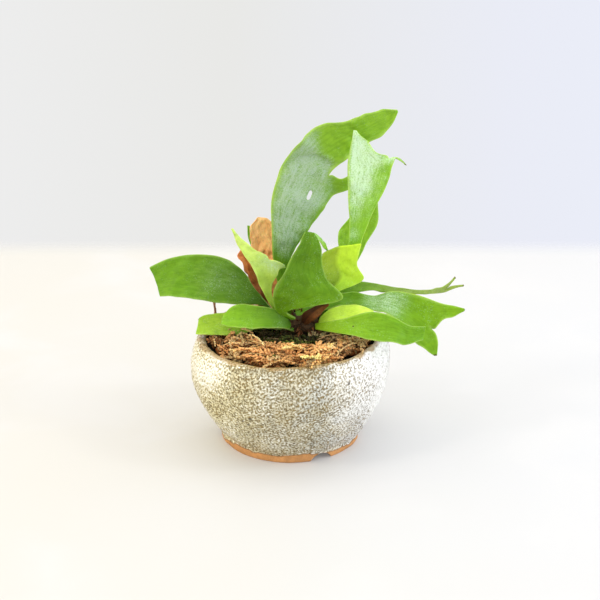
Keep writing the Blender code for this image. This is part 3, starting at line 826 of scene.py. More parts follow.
def make_rhizome(material):
    """The creeping stem, a knobbly lump in a coat of chaffy scales."""
    draw = random.Random(23)
    centre = np.array([*CROWN, bowl().height / MM + CROWN_RISE - RHIZOME[2]])
    bpy.ops.mesh.primitive_uv_sphere_add(segments=48, ring_count=28, radius=1.0)
    obj = bpy.context.active_object
    points = points_of(obj)
    shape = points * RHIZOME * 0.97
    shape *= 1 + 0.06 * field(shape, 6.0, 50)[:, None]
    set_points(obj, shape + centre)
    tint(obj, (0.05, 0.028, 0.012))
    bpy.ops.mesh.primitive_cone_add(
        vertices=6,
        radius1=0.5,
        radius2=0.03,
        depth=1.0,
        location=(0.5, 0, 0),
        rotation=(0, math.pi / 2, 0),
    )
    scale = bpy.context.active_object
    bpy.ops.object.transform_apply(location=True, rotation=True, scale=True)
    shape = points_of(scale)
    set_points(scale, shape * (1.0, 0.55, 0.1))
    spots = []
    for _ in range(RHIZOME_SCALES):
        way = Vector([draw.gauss(0, 1) for _ in range(3)]).normalized()
        start = centre + np.array(way) * RHIZOME * 0.95
        heading = math.atan2(way.y, way.x) + draw.uniform(-0.5, 0.5)
        colour = np.array((0.20, 0.085, 0.03)) * draw.uniform(0.15, 0.9)
        pitch = math.asin(way.z) + draw.uniform(-0.2, 0.5)
        length = draw.uniform(2.2, 4.5)
        roll = draw.uniform(-1, 1)
        spots.append((start, heading, pitch, roll, length, length * 0.9, 0.8, colour))
    copies = lay([scale], spots)
    remove([scale])
    obj = join([obj, *copies])
    finish_piece(obj, "Rhizome", ["rhizome"], material)


def make_dry_stipe(material):
    """The bare stalk of a lost frond."""
    x, y = STIPE_PLACE
    foot_height = moss_top(35.5) + GAP + TUFT_HEIGHT + 1 - 2.5
    top = bowl().height / MM + STIPE_RISE
    bpy.ops.mesh.primitive_cylinder_add(
        vertices=14,
        radius=STIPE_RADIUS,
        depth=top - foot_height,
        location=(x, y, (top + foot_height) / 2),
    )
    obj = bpy.context.active_object
    bpy.ops.object.transform_apply(location=True, rotation=True, scale=True)
    for i in range(1, STIPE_STEPS):
        height = foot_height + (top - foot_height) * i / STIPE_STEPS
        edit(obj, (bpy.ops.mesh.bisect, {"plane_co": (0, 0, height), "plane_no": (0, 0, 1)}))
    points = points_of(obj)
    share = (points[:, 2] - foot_height) / (top - foot_height)
    centre = np.column_stack([x + 0.6 * np.sin(math.pi * share) + 0.2 * share, y + 0 * share])
    swell = (1 - 0.35 * share + 0.25 * (share > 0.97))[:, None]
    points[:, :2] = centre + (points[:, :2] - STIPE_PLACE) * swell
    points[:, :2] += 0.12 * field(points, 2.5, 60)[:, None] * (0.7, -0.7)
    set_points(obj, points)
    tint(obj, (0.36, 0.17, 0.10))
    finish_piece(obj, "Dry_stipe", ["dry_stipe"], material)


# ---------------------------------------------------------------- the fronds


class Blade:
    """A frond's blade, or one lobe of it.

    rows     (x, y, h, sx, sy, sh) for each cross row: its centre, and the half span from there to
             its right edge, as seen with the upper side in view and the tip up
    lobes    the left and the right lobe, when the blade forks after its last row
    split    where the fork lies across the last row, from -1, the left edge, to 1, the right one
    bow      how far the middle of the last row is ahead of its edges
    cup      how far the edges stand above the middle, as a share of the half span
    fold     True where the blade is creased along its middle instead of rounded
    """

    def __init__(self, rows, lobes=(), split=0.0, bow=0.0, cup=0.15, fold=False):
        self.rows = rows
        self.lobes = lobes
        self.split = split
        self.bow = bow
        self.cup = cup
        self.fold = fold


class Look:
    """How a frond is painted.

    base, tip   colours at its two ends, as shares of the frond colours of its kind; on the green
            fronds a low base share is painted shade on the lower blade, under other fronds
    sides       a share for the left half and one for the right; on the creased fronds a lower
            share is painted shade on the half turned from the light
    felt        (x, y, h, radius, strength) of each patch of silvery hairs
    silver      how light those hairs are
    rim         how pale its edge is: partly its own pale margin, partly a painted highlight
    streak      how strong the dark streaks along it are
    """

    def __init__(
        self,
        base=(1, 1, 1),
        tip=(1, 1, 1),
        sides=(1, 1),
        felt=(),
        silver=0.8,
        rim=0.5,
        streak=0.45,
    ):
        self.base = base
        self.tip = tip
        self.sides = sides
        self.felt = felt
        self.silver = silver
        self.rim = rim
        self.streak = streak


# name: (where it leaves the rhizome, as degrees round it and degrees up, its blade, its look)
FRONDS = {
    "tall_frond": (
        (135, 45),
        Blade(
            [
                (-4, 3, 32, 3.5, 0.5, -1), (-0.8, 5, 45.5, 7.1, 2, -1.5),
                (2.5, 7, 56.5, 10.5, 2, -4.5), (7.5, 9.5, 67, 12, 2.5, -6.5),
            ],
            lobes=(
                Blade(
                    [
                        (13, 10.5, 81.5, 10, 2.5, -5), (20, 12.5, 87, 7.5, 3, -7.5),
                        (29, 15, 90, 5, 2.5, -6), (38.5, 17, 93.5, 3, 2, -5.5),
                        (45, 18.5, 97, 1.5, 0.5, -3), (48, 19, 98.5, 0.2, 0, -0.5),
                    ],
                ),
                Blade(
                    [
                        (23.5, 13.5, 66, 1, -0.5, -3), (30, 14.5, 68, 0.5, -0.5, -3),
                        (37.5, 16, 68, 0, 0, -0.5),
                    ],
                ),
            ),
            split=0.55, bow=11, cup=-0.12,
        ),
        Look(
            base=(0.75, 0.8, 1.0), tip=(1.5, 1.3, 2.0),
            felt=[
                (-2.5, 5, 38, 4.5, 0.5), (-2.2, 5, 46, 7.5, 0.9), (-1, 5.5, 55, 9, 0.95),
                (1.5, 6, 65.5, 9, 0.9), (4.5, 7, 72, 9, 0.85), (7, 8, 80, 7.5, 0.9),
                (4.5, 8, 86, 7, 0.9), (12.5, 9, 72, 7, 0.9), (15.5, 10, 75, 4.5, 1.1),
                (8, 7.5, 61, 8, 0.85), (6, 6, 51, 5.5, 0.6), (8, 9, 93, 6, 0.6),
                (16.5, 9, 62.5, 6, 0.5),
            ],
            silver=0.35, rim=0.8,
        ),
    ),
    "upright_frond": (
        (70, 35),
        Blade(
            [
                (27.5, 3, 35.5, 2, 0, -0.5), (29.5, 3, 44, 3, -1, 0), (31.5, 3, 55, 5, -2, 1),
                (34, 3, 66.5, 8, -3, 1), (36, 3, 79, 10.3, -4, 3.2),
            ],
            lobes=(
                Blade(
                    [
                        (32.5, 4.5, 83.5, 6, -2.5, 0.5), (30.5, 5.5, 88.5, 3, -1.5, 0),
                        (28.5, 6.5, 92.5, 0.5, -0.5, 0),
                    ],
                ),
                Blade([(48.3, -1.6, 81.2, 0.8, -0.3, -0.8), (50.5, -2, 79, 0.2, 0, -0.4)]),
            ),
            split=0.72, cup=0.1,
        ),
        Look(
            base=(1.45, 1.45, 2.0), tip=(1.5, 1.45, 2.4),
            felt=[
                (30.5, 5, 90, 5.5, 1.1), (31, 4, 83.5, 6.5, 1.1), (36, 2, 82.5, 6, 1.0),
                (31, 3, 76, 6.5, 1.1), (30.5, 3, 69, 5.5, 1.05), (29, 3, 62, 4, 0.75),
                (28, 3, 54, 3.5, 0.5), (28, 3, 46, 4, 0.5), (45, 0, 82, 3, 0.8),
                (35, 2, 66, 17, 0.3),
            ],
            silver=1.0, rim=1.0,
        ),
    ),
    "sheltered_frond": (
        (90, 15),
        Blade(
            [
                (27.5, 8, 31, 2.5, 0, -0.5), (28.5, 12, 38.5, 6.5, 0, 0.5),
                (31, 14, 46, 9, 0, 2.5), (31.5, 14.5, 51, 8.5, -0.5, 6),
                (36, 15, 58, 3.5, 0, 2.5),
            ],
        ),
        Look(base=(1.1, 1.1, 1.3), tip=(1.7, 1.45, 3.0), rim=0.6),
    ),
    "young_fold_frond": (
        (300, 45),
        Blade(
            [
                (17.5, -3, 21, 3.5, 1, -0.5), (22.5, -1.5, 28, 9.5, 4.5, -2),
                (20.7, -3, 35, 8.2, 4, -1.5), (22, -3.5, 42.5, 9, 3.5, 1),
            ],
            cup=0.3, fold=True,
        ),
        Look(
            base=(0.7, 0.8, 0.9), tip=(1.14, 0.98, 0.85), sides=(0.6, 1.14), rim=0.4, streak=0.1,
        ),
    ),
    "centre_frond": (
        (240, 50),
        Blade(
            [
                (-3.5, -9, 14, 2.5, 0, 0), (1, -11.5, 19.5, 8.5, 0.5, -2),
                (8.5, -12, 24.5, 15, 1, -3), (7, -12, 33, 9, 2, -3),
                (8, -12.5, 41, 6, 1.5, -2.5), (9.2, -12.5, 47.5, 4.4, 0.5, -1.5),
                (8.8, -12, 51.8, 2, 0, -0.3),
            ],
        ),
        Look(base=(0.85, 0.9, 0.75), tip=(0.68, 0.74, 0.7), sides=(0.9, 1.05), rim=0.55),
    ),
    "arching_frond": (
        (105, 35),
        Blade(
            [
                (7, -0.5, 34, 0.5, 2.5, -1), (7.5, -2, 43, 0.5, 3, -1),
                (10, -3, 48.5, 0.5, 3, -1), (13.4, -3, 45.5, 0.5, 3, -1),
                (16.6, -3, 40.5, 0.5, 2, -1),
            ],
        ),
        Look(base=(1, 1, 1), tip=(1.5, 1.4, 2.0), felt=[(12, -3, 47, 6, 0.4)], rim=0.8),
    ),
    "pale_fork_frond": (
        (190, 30),
        Blade(
            [
                (-8.5, -5, 17, 1.5, 0, -0.5), (-10.8, -7.5, 26, 2.8, 0.7, -0.5),
                (-11, -9, 33.5, 5.8, 1.5, -2),
            ],
            lobes=(
                Blade(
                    [
                        (-18, -11.5, 42.5, 2.4, 0.5, 1.2), (-22.3, -12.5, 48.3, 1.2, 0.4, 0.7),
                        (-25, -13.5, 53.8, 0.4, 0, 0.1),
                    ],
                ),
                Blade([(-5.3, -9, 35.6, 0.6, 0.2, -2.2), (-1.9, -8.5, 34.5, 0.2, 0, -0.5)]),
            ),
            split=0.35, bow=6,
        ),
        Look(
            base=(0.85, 0.85, 1.5), tip=(1.5, 1.15, 4.0),
            felt=[(-6, -9, 36, 5, 0.55), (-12, -12, 38, 6, 0.3)], rim=1.2, streak=0.15,
        ),
    ),
    "left_frond": (
        (190, 15),
        Blade(
            [
                (-13.5, -1.5, 17, -1, 0.5, 3), (-22, -0.5, 22, 0.5, 2.5, 7.5),
                (-33, 1.5, 25, 2, 3.5, 9.5), (-46.5, 4, 25.5, 1, 4, 9),
                (-56, 6, 24, -0.5, 4, 7.5), (-61.5, 7, 22, -2.5, 3, 6),
            ],
        ),
        Look(
            base=(0.3, 0.38, 0.4), tip=(0.92, 0.95, 1.0),
            felt=[(-31, 1, 27, 9, 0.22), (-40, 3, 24, 9, 0.14), (-24, 1, 22, 8, 0.08)],
            silver=0.35, rim=0.45,
        ),
    ),
    "front_left_frond": (
        (250, -15),
        Blade(
            [
                (-5.5, -9.5, 10, -1, 2.6, 3.4), (-14, -10, 11, -1.5, 4, 4),
                (-22, -10.5, 11.5, -1, 4.5, 4), (-27.5, -11.5, 11, 0, 3.5, 3),
                (-30.5, -13, 10, 0, 2, 1),
            ],
        ),
        Look(base=(0.2, 0.3, 0.3), tip=(0.53, 0.65, 0.4), rim=0.7, streak=0.3),
    ),
    "low_left_frond": (
        (215, -20),
        Blade(
            [
                (-13.5, -3, 6, -1, 3, 2), (-22.5, -4, 5.5, 0, 4, 3.5),
                (-34, -3.5, 5, 0, 4.5, 3.5), (-39.5, -3.5, 4.5, 0, 4.5, 3),
                (-42, -3.5, 4, 0.5, 3.5, 2.5),
            ],
        ),
        Look(base=(0.4, 0.5, 0.6), tip=(0.82, 0.79, 0.9), rim=0.6, streak=0.3),
    ),
    "front_right_frond": (
        (315, -5),
        Blade(
            [
                (25, -17.5, 9.5, 0.5, -2.5, -3), (37, -19.5, 10.5, 0.5, -3.5, -5.5),
                (46.5, -20.5, 9, 1, -3.5, -5), (53.5, -20.5, 7, 0.5, -2.5, -3),
                (59.5, -19.5, 7.5, -0.5, -1.5, -2.5),
            ],
        ),
        Look(
            base=(1.5, 1.35, 1.3), tip=(0.95, 1.0, 1.0), felt=[(32, -18, 11, 8, 0.12)], rim=0.9,
        ),
    ),
    "yellow_frond": (
        (335, 15),
        Blade(
            [
                (19.5, -7.5, 11.5, 0.5, -2.5, -2), (27, -8, 13, 1, -3, -2),
                (33, -8.5, 14, 1, -2.5, -1), (37.5, -8, 13, 0, 0, -0.5),
            ],
        ),
        Look(base=(1.2, 1.1, 1.5), tip=(1.6, 1.3, 2.5), rim=0.7),
    ),
    "right_frond": (
        (180, 70),
        Blade(
            [
                (13, -0.5, 12.5, 0.5, -2.5, -1), (26, 1, 15.5, 1, -4, -2),
                (38, -2, 14.5, 0.5, -5, -2), (48, -4.5, 14, 0.5, -6, -5),
                (56.5, -7.5, 9.5, -1, -6, -9),
            ],
            lobes=(
                Blade(
                    [
                        (67.5, -8, 13, 0.5, -2.5, -3.5), (74, -9.5, 14, 0, -1, -2),
                        (78, -10.5, 15, 0, 0, -0.5),
                    ],
                ),
                Blade([(63, -15, 0, -3, -1, -2), (65, -17, -4.5, -0.5, 0, 0)]),
            ),
            bow=8,
        ),
        Look(
            base=(0.7, 0.8, 0.9), tip=(1.2, 1.15, 0.8),
            felt=[(47, -4.5, 17, 8, 0.55), (38, -2, 15, 7, 0.4)], rim=0.8,
        ),
    ),
    "antler_frond": (
        (10, 20),
        Blade(
            [
                (21.5, 7, 16.5, 1, -1, -1.5), (29.5, 9, 19, 1.5, -1.5, -2),
                (38.5, 11.5, 18, 1, -1, -1.5), (48.5, 14, 15.7, 0, -1, -1),
                (60.5, 16.5, 13.6, 0, -0.5, -1), (70, 19, 13.6, 0.5, 0, -1.2),
            ],
            lobes=(
                Blade([(73.5, 20, 16, 0.5, 0, -0.5), (77, 21, 19.5, 0.2, 0, -0.4)]),
                Blade([(75, 20, 14.5, 0.5, -0.5, -0.5), (81, 21, 15.5, 0, 0, -0.5)]),
            ),
            bow=2,
        ),
        Look(
            base=(0.75, 0.85, 1.0), tip=(1.75, 1.1, 4.5),
            felt=[(55, 15, 15, 14, 0.22), (72, 19, 15, 8, 0.25)], silver=0.5, rim=0.5,
        ),
    ),
    "back_left_frond": (
        (112, 0),
        Blade(
            [
                (-7, 16, 16.5, 2.5, -0.5, -0.5), (-12.5, 21.5, 27.5, 3, -0.5, -1),
                (-17, 25.5, 36.5, 2.5, -0.5, -0.5), (-19.5, 28, 42.5, 0.5, 0, 0),
            ],
        ),
        Look(base=(0.8, 0.85, 0.9), tip=(0.9, 0.95, 1.2), rim=0.4),
    ),
    "tall_shield": (
        (140, 30),
        Blade(
            [
                (-11, 9.5, 12.5, 4, 0, 0), (-11.5, 12.5, 26, 6.5, 0.5, 0),
                (-12, 14.5, 39.5, 6.2, 0.5, 0), (-13, 15.5, 47.5, 5, 0.5, 0.5),
                (-12.5, 16, 50, 2.5, 0, 0),
            ],
            cup=0.3,
        ),
        Look(base=(0.8, 0.75, 0.7), tip=(1.45, 1.5, 1.7), rim=0.0),
    ),
    "left_shield": (
        (172, 10),
        Blade(
            [
                (-11, 4, 9.5, 2, 0.5, 0.5), (-15, 5, 21, 3, 2, -1),
                (-18.4, 5.5, 29, 4.3, 2.5, -1.5), (-20.6, 7, 33.5, 4.5, 2, -1),
                (-20.6, 7.5, 37.5, 2.2, 0.5, 0),
            ],
            cup=0.3,
        ),
        Look(base=(0.13, 0.08, 0.06), tip=(0.7, 0.5, 0.36), rim=0.0),
    ),
    "bud_shield": (
        (280, 30),
        Blade(
            [
                (9.5, -10.5, 13, 2.5, -0.5, -1.5), (13.5, -9, 15.5, 1, 0, -1.5),
                (17.5, -8, 17, 0, 0, -0.5),
            ],
            cup=0.4,
        ),
        Look(base=(0.08, 0.05, 0.02), tip=(0.15, 0.115, 0.05), sides=(0.6, 1.4), rim=0.0),
    ),
}

YOUNG = (
    "young_fold_frond",
    "yellow_frond",
    "pale_fork_frond",
    "front_left_frond",
    "low_left_frond",
)
SHIELDS = ("tall_shield", "left_shield", "bud_shield")
# (x, y, h, radius) of dead spots and tips
SPOTS = [
    (-3.6, 4.6, 45.6, 0.75), (63.2, -6, 13.7, 0.8), (78.5, -10.5, 15, 1.3), (65, -17, -5, 1.6),
    (81, 21, 15.5, 1.2), (77, 21, 19.3, 0.8), (50.5, -2, 79, 1.2), (-60.5, 4, 15.8, 1.6),
    (53, -20, 6.8, 0.75), (55.6, -20, 6.8, 0.7), (52, -19.5, 12.1, 0.5),
    (27.9, -18.5, 10.3, 0.6), (54.9, -14.5, 0.4, 1.0),
]
ROW_STEP = 1.15
HALF_COLUMNS = 8
PETIOLE_WIDTH = 3.0
PETIOLE_THICKNESS = 1.8
TIP_WIDTH = 0.5


def fronds():
    return bpy.context.scene.fern_fronds


def leaving(degrees, up, clear):
    """Where a stalk leaves the rhizome, that far clear of its surface."""
    a, e = math.radians(degrees), math.radians(up)
    out = np.array([math.cos(e) * math.cos(a), math.cos(e) * math.sin(a), math.sin(e)])
    normal = out / RHIZOME
    normal /= np.linalg.norm(normal)
    centre = np.array([*CROWN, bowl().height / MM + CROWN_RISE - RHIZOME[2]])
    return centre + out * RHIZOME + normal * clear


def unit(vector):
    return vector / np.linalg.norm(vector)


def slopes(points, knots):
    """The slope of a smooth curve at each of its points."""
    gaps = np.diff(knots)
    steps = [(b - a) / gap for a, b, gap in zip(points, points[1:], gaps)]
    inner = [
        (steps[i] * gaps[i + 1] + steps[i + 1] * gaps[i]) / (gaps[i] + gaps[i + 1])
        for i in range(len(gaps) - 1)
    ]
    return [steps[0], *inner, steps[-1]]


def hermite(a, b, slope_a, slope_b, length, t):
    """The point a share t of the way along the smooth curve from a to b."""
    return (
        a * (2 * t**3 - 3 * t**2 + 1)
        + slope_a * length * (t**3 - 2 * t**2 + t)
        + b * (3 * t**2 - 2 * t**3)
        + slope_b * length * (t**3 - t**2)
    )


def cross_row(row, ahead, blade, places, last):
    """The points across one row of a blade."""
    lip = bowl().height / MM
    centre = np.array([row[0], row[1], row[2] + lip])
    span = np.array(row[3:], float)
    if np.linalg.norm(span) < TIP_WIDTH / 2:
        span = unit(span) * TIP_WIDTH / 2
    up = unit(np.cross(span, ahead)) * np.linalg.norm(span) * blade.cup
    bow = unit(ahead) * (blade.bow if last and blade.lobes else 0.0)
    v = places[:, None]
    lift = np.abs(v) ** 1.3 if blade.fold else v * v
    return centre + span * v + up * lift + bow * (1 - v * v)


def loft(blade, first, first_slopes=None, start=0.0):
    """Patches of a blade and its lobes, each as (points, distances along, places across)."""
    lip = bowl().height / MM
    half = (len(first) - 1) // 2
    split = blade.split if blade.lobes else 0.0
    places = np.r_[np.linspace(-1, split, half + 1), np.linspace(split, 1, half + 1)[1:]]
    centres = [first.mean(0)] + [np.array([r[0], r[1], r[2] + lip]) for r in blade.rows]
    ways = [unit(b - a) for a, b in zip(centres, centres[1:])]
    turns = [unit(a + b) for a, b in zip(ways, ways[1:])] + [ways[-1]]
    last = len(blade.rows) - 1
    rows = [first]
    for i, row in enumerate(blade.rows):
        rows.append(cross_row(row, turns[i], blade, places, i == last))
    lengths = [np.linalg.norm(b - a) for a, b in zip(centres, centres[1:])]
    knots = np.r_[0, np.cumsum(lengths)]
    heads = slopes(rows, knots)
    if first_slopes is not None:
        heads[0] = first_slopes
    fine, along = [first], [start]
    for i, length in enumerate(lengths):
        count = max(2, round(length / ROW_STEP))
        for n in range(1, count + 1):
            t = n / count
            fine.append(hermite(rows[i], rows[i + 1], heads[i], heads[i + 1], length, t))
            along.append(start + knots[i] + length * t)
    patches = [(np.array(fine), np.array(along), places)]
    for lobe, at in zip(blade.lobes, (0, half)):
        part = slice(at, at + half + 1)
        patches += loft(lobe, fine[-1][part], heads[-1][part], along[-1])
    return patches


def add_patch(points, along, across):
    """A grid with those points."""
    rows, columns = points.shape[:2]
    bpy.ops.mesh.primitive_grid_add(x_subdivisions=columns - 1, y_subdivisions=rows - 1)
    obj = bpy.context.active_object
    set_points(obj, points.reshape(-1, 3))
    set_attribute(obj, "along", np.repeat(along, columns))
    set_attribute(obj, "across", np.tile(across, rows))
    return obj


def read_attribute(obj, name):
    values = np.empty(len(obj.data.vertices), np.float32)
    obj.data.attributes[name].data.foreach_get("value", values)
    return values


def paint(obj, name, look):
    """Gives a blade's vertices their colour and felt."""
    s = fronds()
    lip = bowl().height / MM
    points = points_of(obj)
    along = read_attribute(obj, "along")
    across = read_attribute(obj, "across")
    kind = s.shield if name in SHIELDS else s.young if name in YOUNG else s.green
    # Painted shade: on the green fronds, a base share lower than the tip's darkens the lower blade
    # where it lies under other fronds.
    t = smooth_step(0.1, 0.95, along / along.max())[:, None]
    shade = np.array(look.base) * (1 - t) + np.array(look.tip) * t
    # Painted shade: on the creased fronds, the half turned from the light is painted darker by its
    # side share.
    side = smooth_step(-0.08, 0.08, across)[:, None]
    shade = shade * (look.sides[0] * (1 - side) + look.sides[1] * side)
    tone = np.array(kind) * shade
    # The pale rim is partly the blade's own pale margin and partly a painted highlight along its
    # edge.
    rim = smooth_step(0.92, 1.0, np.abs(across))[:, None] * look.rim * 0.4
    tone = tone * (1 - rim) + np.array(s.rim) * rim
    felt = np.zeros(len(points))
    for x, y, h, radius, strength in look.felt:
        gap = np.linalg.norm((points - (x, y, h + lip)) * (1, 0.6, 1), axis=1)
        felt = felt + strength * np.exp(-((gap / radius) ** 3)) * (1 - felt)
    felt *= smooth_step(1.0, 0.8, np.abs(across)) * 0.6 + 0.4
    set_attribute(obj, "tone", np.clip(tone, 0, 1))
    set_attribute(obj, "felt", felt)
    set_attribute(obj, "silver", np.full(len(points), look.silver))
    set_attribute(obj, "streak", np.full(len(points), look.streak))


def thicken(obj, name):
    """Gives a blade its thickness: a stout stalk, a thin blade and a thinner edge."""
    s = fronds()
    thick = s.thickness / MM * (0.7 if name in SHIELDS else 1.0)
    thin = s.edge / MM
    along = read_attribute(obj, "along")
    across = read_attribute(obj, "across")
    stalk = smooth_step(14.0, 2.0, along)
    blade = thin + (thick - thin) * (1 - np.abs(across) ** 4)
    wanted = blade + (PETIOLE_THICKNESS - blade) * stalk * (1 - 0.5 * np.abs(across) ** 3)
    group = obj.vertex_groups.new(name="thickness")
    for i, share in enumerate(wanted / PETIOLE_THICKNESS):
        group.add([i], float(share), "REPLACE")
    apply_modifier(
        obj,
        "SOLIDIFY",
        thickness=PETIOLE_THICKNESS,
        offset=0.0,
        vertex_group="thickness",
        thickness_vertex_group=0.0,
    )
    apply_modifier(obj, "SUBSURF", levels=1, render_levels=1)
    obj.vertex_groups.clear()


def cut_slit(obj, centre, way, long, wide):
    """Opens a small torn slit in a blade, and draws its sides in to that width."""
    bpy.context.tool_settings.mesh_select_mode = (False, False, True)
    edit(obj, (bpy.ops.mesh.select_all, {"action": "DESELECT"}))
    way = unit(np.array(way))
    for polygon in obj.data.polygons:
        off = np.array(polygon.center) - centre
        a = off @ way
        b = np.linalg.norm(off - a * way)
        polygon.select = bool(abs(a) < long and b < 0.75)
    bpy.ops.object.mode_set(mode="EDIT")
    bpy.ops.mesh.delete(type="FACE")
    bpy.ops.object.mode_set(mode="OBJECT")
    bpy.context.tool_settings.mesh_select_mode = (True, False, False)
    points = points_of(obj)
    off = points - centre
    a = off @ way
    side = off - a[:, None] * way
    b = np.linalg.norm(side, axis=1)
    pull = smooth_step(4.5, 1.5, b) * smooth_step(long + 2.5, long + 0.5, np.abs(a))
    middle = 0.75 - wide
    points -= side * (pull * middle / np.maximum(b, 0.75))[:, None]
    set_points(obj, points)


def grow(name, material):
    """A frond from its stalk on the rhizome to its tips."""
    root, blade, look = FRONDS[name]
    shield = name in SHIELDS
    start = leaving(*root, -1.2)
    span = unit(np.array(blade.rows[0][3:], float)) * PETIOLE_WIDTH / 2
    columns = 2 * HALF_COLUMNS
    first = start + span * np.linspace(-1, 1, columns + 1)[:, None]
    obj = join([add_patch(*patch) for patch in loft(blade, first)])
    edit(obj, MERGE)
    if name == "tall_frond":
        cut_slit(obj, np.array([8.5, 9.0, 62.3 + bowl().height / MM]), (6.5, 3, 9), 1.4, 0.25)
    seed = 70 + list(FRONDS).index(name)
    points = points_of(obj)
    along = read_attribute(obj, "along")
    free = smooth_step(6, 20, along)
    rise = (0.6 if shield else 0.3) * field(points, 13.0, seed) * free
    rise += (0.55 if shield else 0.14) * field(points, 4.5, seed + 30) * free
    edge = smooth_step(0.6, 1.0, np.abs(read_attribute(obj, "across")))
    rise += 0.25 * edge * free * field(points, 7.0, seed + 60)
    set_points(obj, points + normals_of(obj) * rise[:, None])
    paint(obj, name, look)
    thicken(obj, name)
    edit(obj, OUTWARD)
    title = name.capitalize()
    finish_piece(obj, title, [name], material)


def frond_finish(name):
    """A leathery blade with fine veins, a felt of silvery hairs and dead spots."""
    s = fronds()
    f = Finish(
        name,
        Specular_IOR_Level=0.13,
        Subsurface_Weight=0.35,
        Subsurface_Radius=(0.7, 1.0, 0.15),
        Subsurface_Scale=0.0012,
    )
    along = f.attribute("along")
    across = f.attribute("across")
    felt = f.attribute("felt")
    tone = f.attribute("tone", "Color")
    grain = f.node("ShaderNodeCombineXYZ", {}, {0: across * 6.0, 1: along * 0.11})
    fine = {"Vector": grain, "Scale": 1.6, "Detail": 3.0}
    streak = f.node("ShaderNodeTexNoise", {}, fine, "Fac")
    mottle = f.noise(2.2, 4.0, rough=0.65)
    speckle = f.noise(0.55, 2.0, rough=0.75)
    patch = f.noise(7.0, 2.0)
    dark = f.mix(1.0, tone, (0.62, 0.70, 0.62), "MULTIPLY")
    light = f.mix(1.0, tone, (1.22, 1.15, 1.15), "MULTIPLY")
    body = f.mix((1 - streak).steps(0.4, 0.62) * f.attribute("streak"), tone, dark)
    body = f.mix(mottle.steps(0.5, 0.72) * 0.4, body, light)
    body = f.mix((1 - mottle).steps(0.5, 0.72) * 0.55, body, dark)
    hairs = felt * (1.0 + (speckle - 0.5) * 2.4 + (streak - 0.5) * 1.4 + (patch - 0.5) * 0.8)
    dots = speckle.steps(0.57, 0.68) * patch.steps(0.40, 0.6) * (felt * 0.3 + 0.24)
    hairs = (hairs.steps(0.05, 1.3) + dots).clamped() * 0.9
    body = f.mix(hairs, body, f.mix(f.attribute("silver"), [c * 0.4 for c in s.felt], s.felt))
    place = f.place()
    dead = None
    lip = bowl().height / MM
    for x, y, h, radius in SPOTS:
        spot = (np.array([x, y, h + lip]) * MM + np.array(AXIS)).tolist()
        ends = {0: place, 1: spot}
        gap = f.node("ShaderNodeVectorMath", {"operation": "DISTANCE"}, ends, "Value")
        gap = gap + (mottle - 0.5) * (radius * MM)
        one = 1 - gap.steps(radius * 0.55 * MM, radius * 1.05 * MM)
        dead = one if dead is None else dead + one
    dead = dead.clamped()
    body = f.mix(dead * 0.9, body, s.dead)
    f.feed("Base Color", body)
    f.feed("Roughness", 0.42 + hairs * 0.35 + (mottle - 0.5) * 0.2)
    f.bump(streak * 0.8 + mottle * 0.5 + speckle * felt * 0.8, 0.18, 0.7)
    return f.material


def shield_finish():
    """Dry brown paper with branching veins."""
    f = Finish(
        "shield_brown", Specular_IOR_Level=0.2, Subsurface_Weight=0.25, Subsurface_Scale=0.001
    )
    along = f.attribute("along")
    across = f.attribute("across")
    tone = f.attribute("tone", "Color")
    grain = f.node("ShaderNodeCombineXYZ", {}, {0: across * 1.5, 1: along * 0.075})
    veins = f.node(
        "ShaderNodeTexNoise",
        {},
        {"Vector": grain, "Scale": 2.2, "Detail": 5.0, "Roughness": 0.65, "Distortion": 1.2},
        "Fac",
    )
    mottle = f.noise(3.0, 5.0, rough=0.7)
    dark = f.mix(1.0, tone, (0.42, 0.33, 0.28), "MULTIPLY")
    light = f.mix(1.0, tone, (1.3, 1.35, 1.5), "MULTIPLY")
    body = f.mix((1 - veins).steps(0.5, 0.66) * 0.4, tone, dark)
    body = f.mix(veins.steps(0.54, 0.64) * 0.7, body, light)
    body = f.mix((1 - mottle).steps(0.5, 0.64) * 0.4, body, dark)
    f.feed("Base Color", body)
    f.feed("Roughness", 0.6 + mottle * 0.3)
    f.bump(veins * 1.2 + mottle * 1.0, 0.6)
    return f.material


def make_fronds():
    green, young = frond_finish("frond_green"), frond_finish("frond_young")
    for name in FRONDS:
        if name in YOUNG:
            grow(name, young)
        elif name not in SHIELDS:
            grow(name, green)


def make_shields():
    material = shield_finish()
    for name in SHIELDS:
        grow(name, material)


# ---------------------------------------------------------------- the stage

# (how far across the room, from 0 at the left to 1 at the right, and the light from there)
WALL_COLOURS = (
    (0.0, (1.9, 1.72, 1.35)), (0.35, (0.865, 0.865, 0.870)), (0.475, (0.815, 0.815, 0.798)),
    (0.575, (0.822, 0.840, 0.920)), (0.65, (0.83, 0.86, 0.96)), (1.0, (1.95, 2.0, 2.1)),
)
CAMERA_DISTANCE = 0.62
CAMERA_ELEVATION = 20.0
CAMERA_LENS = 82.25
TARGET = (4.523, 0.0, 66.3)
FLOOR_SIDE = 1.6
FLOOR_BACK = 0.283
FRONT_LIGHT = 1.25


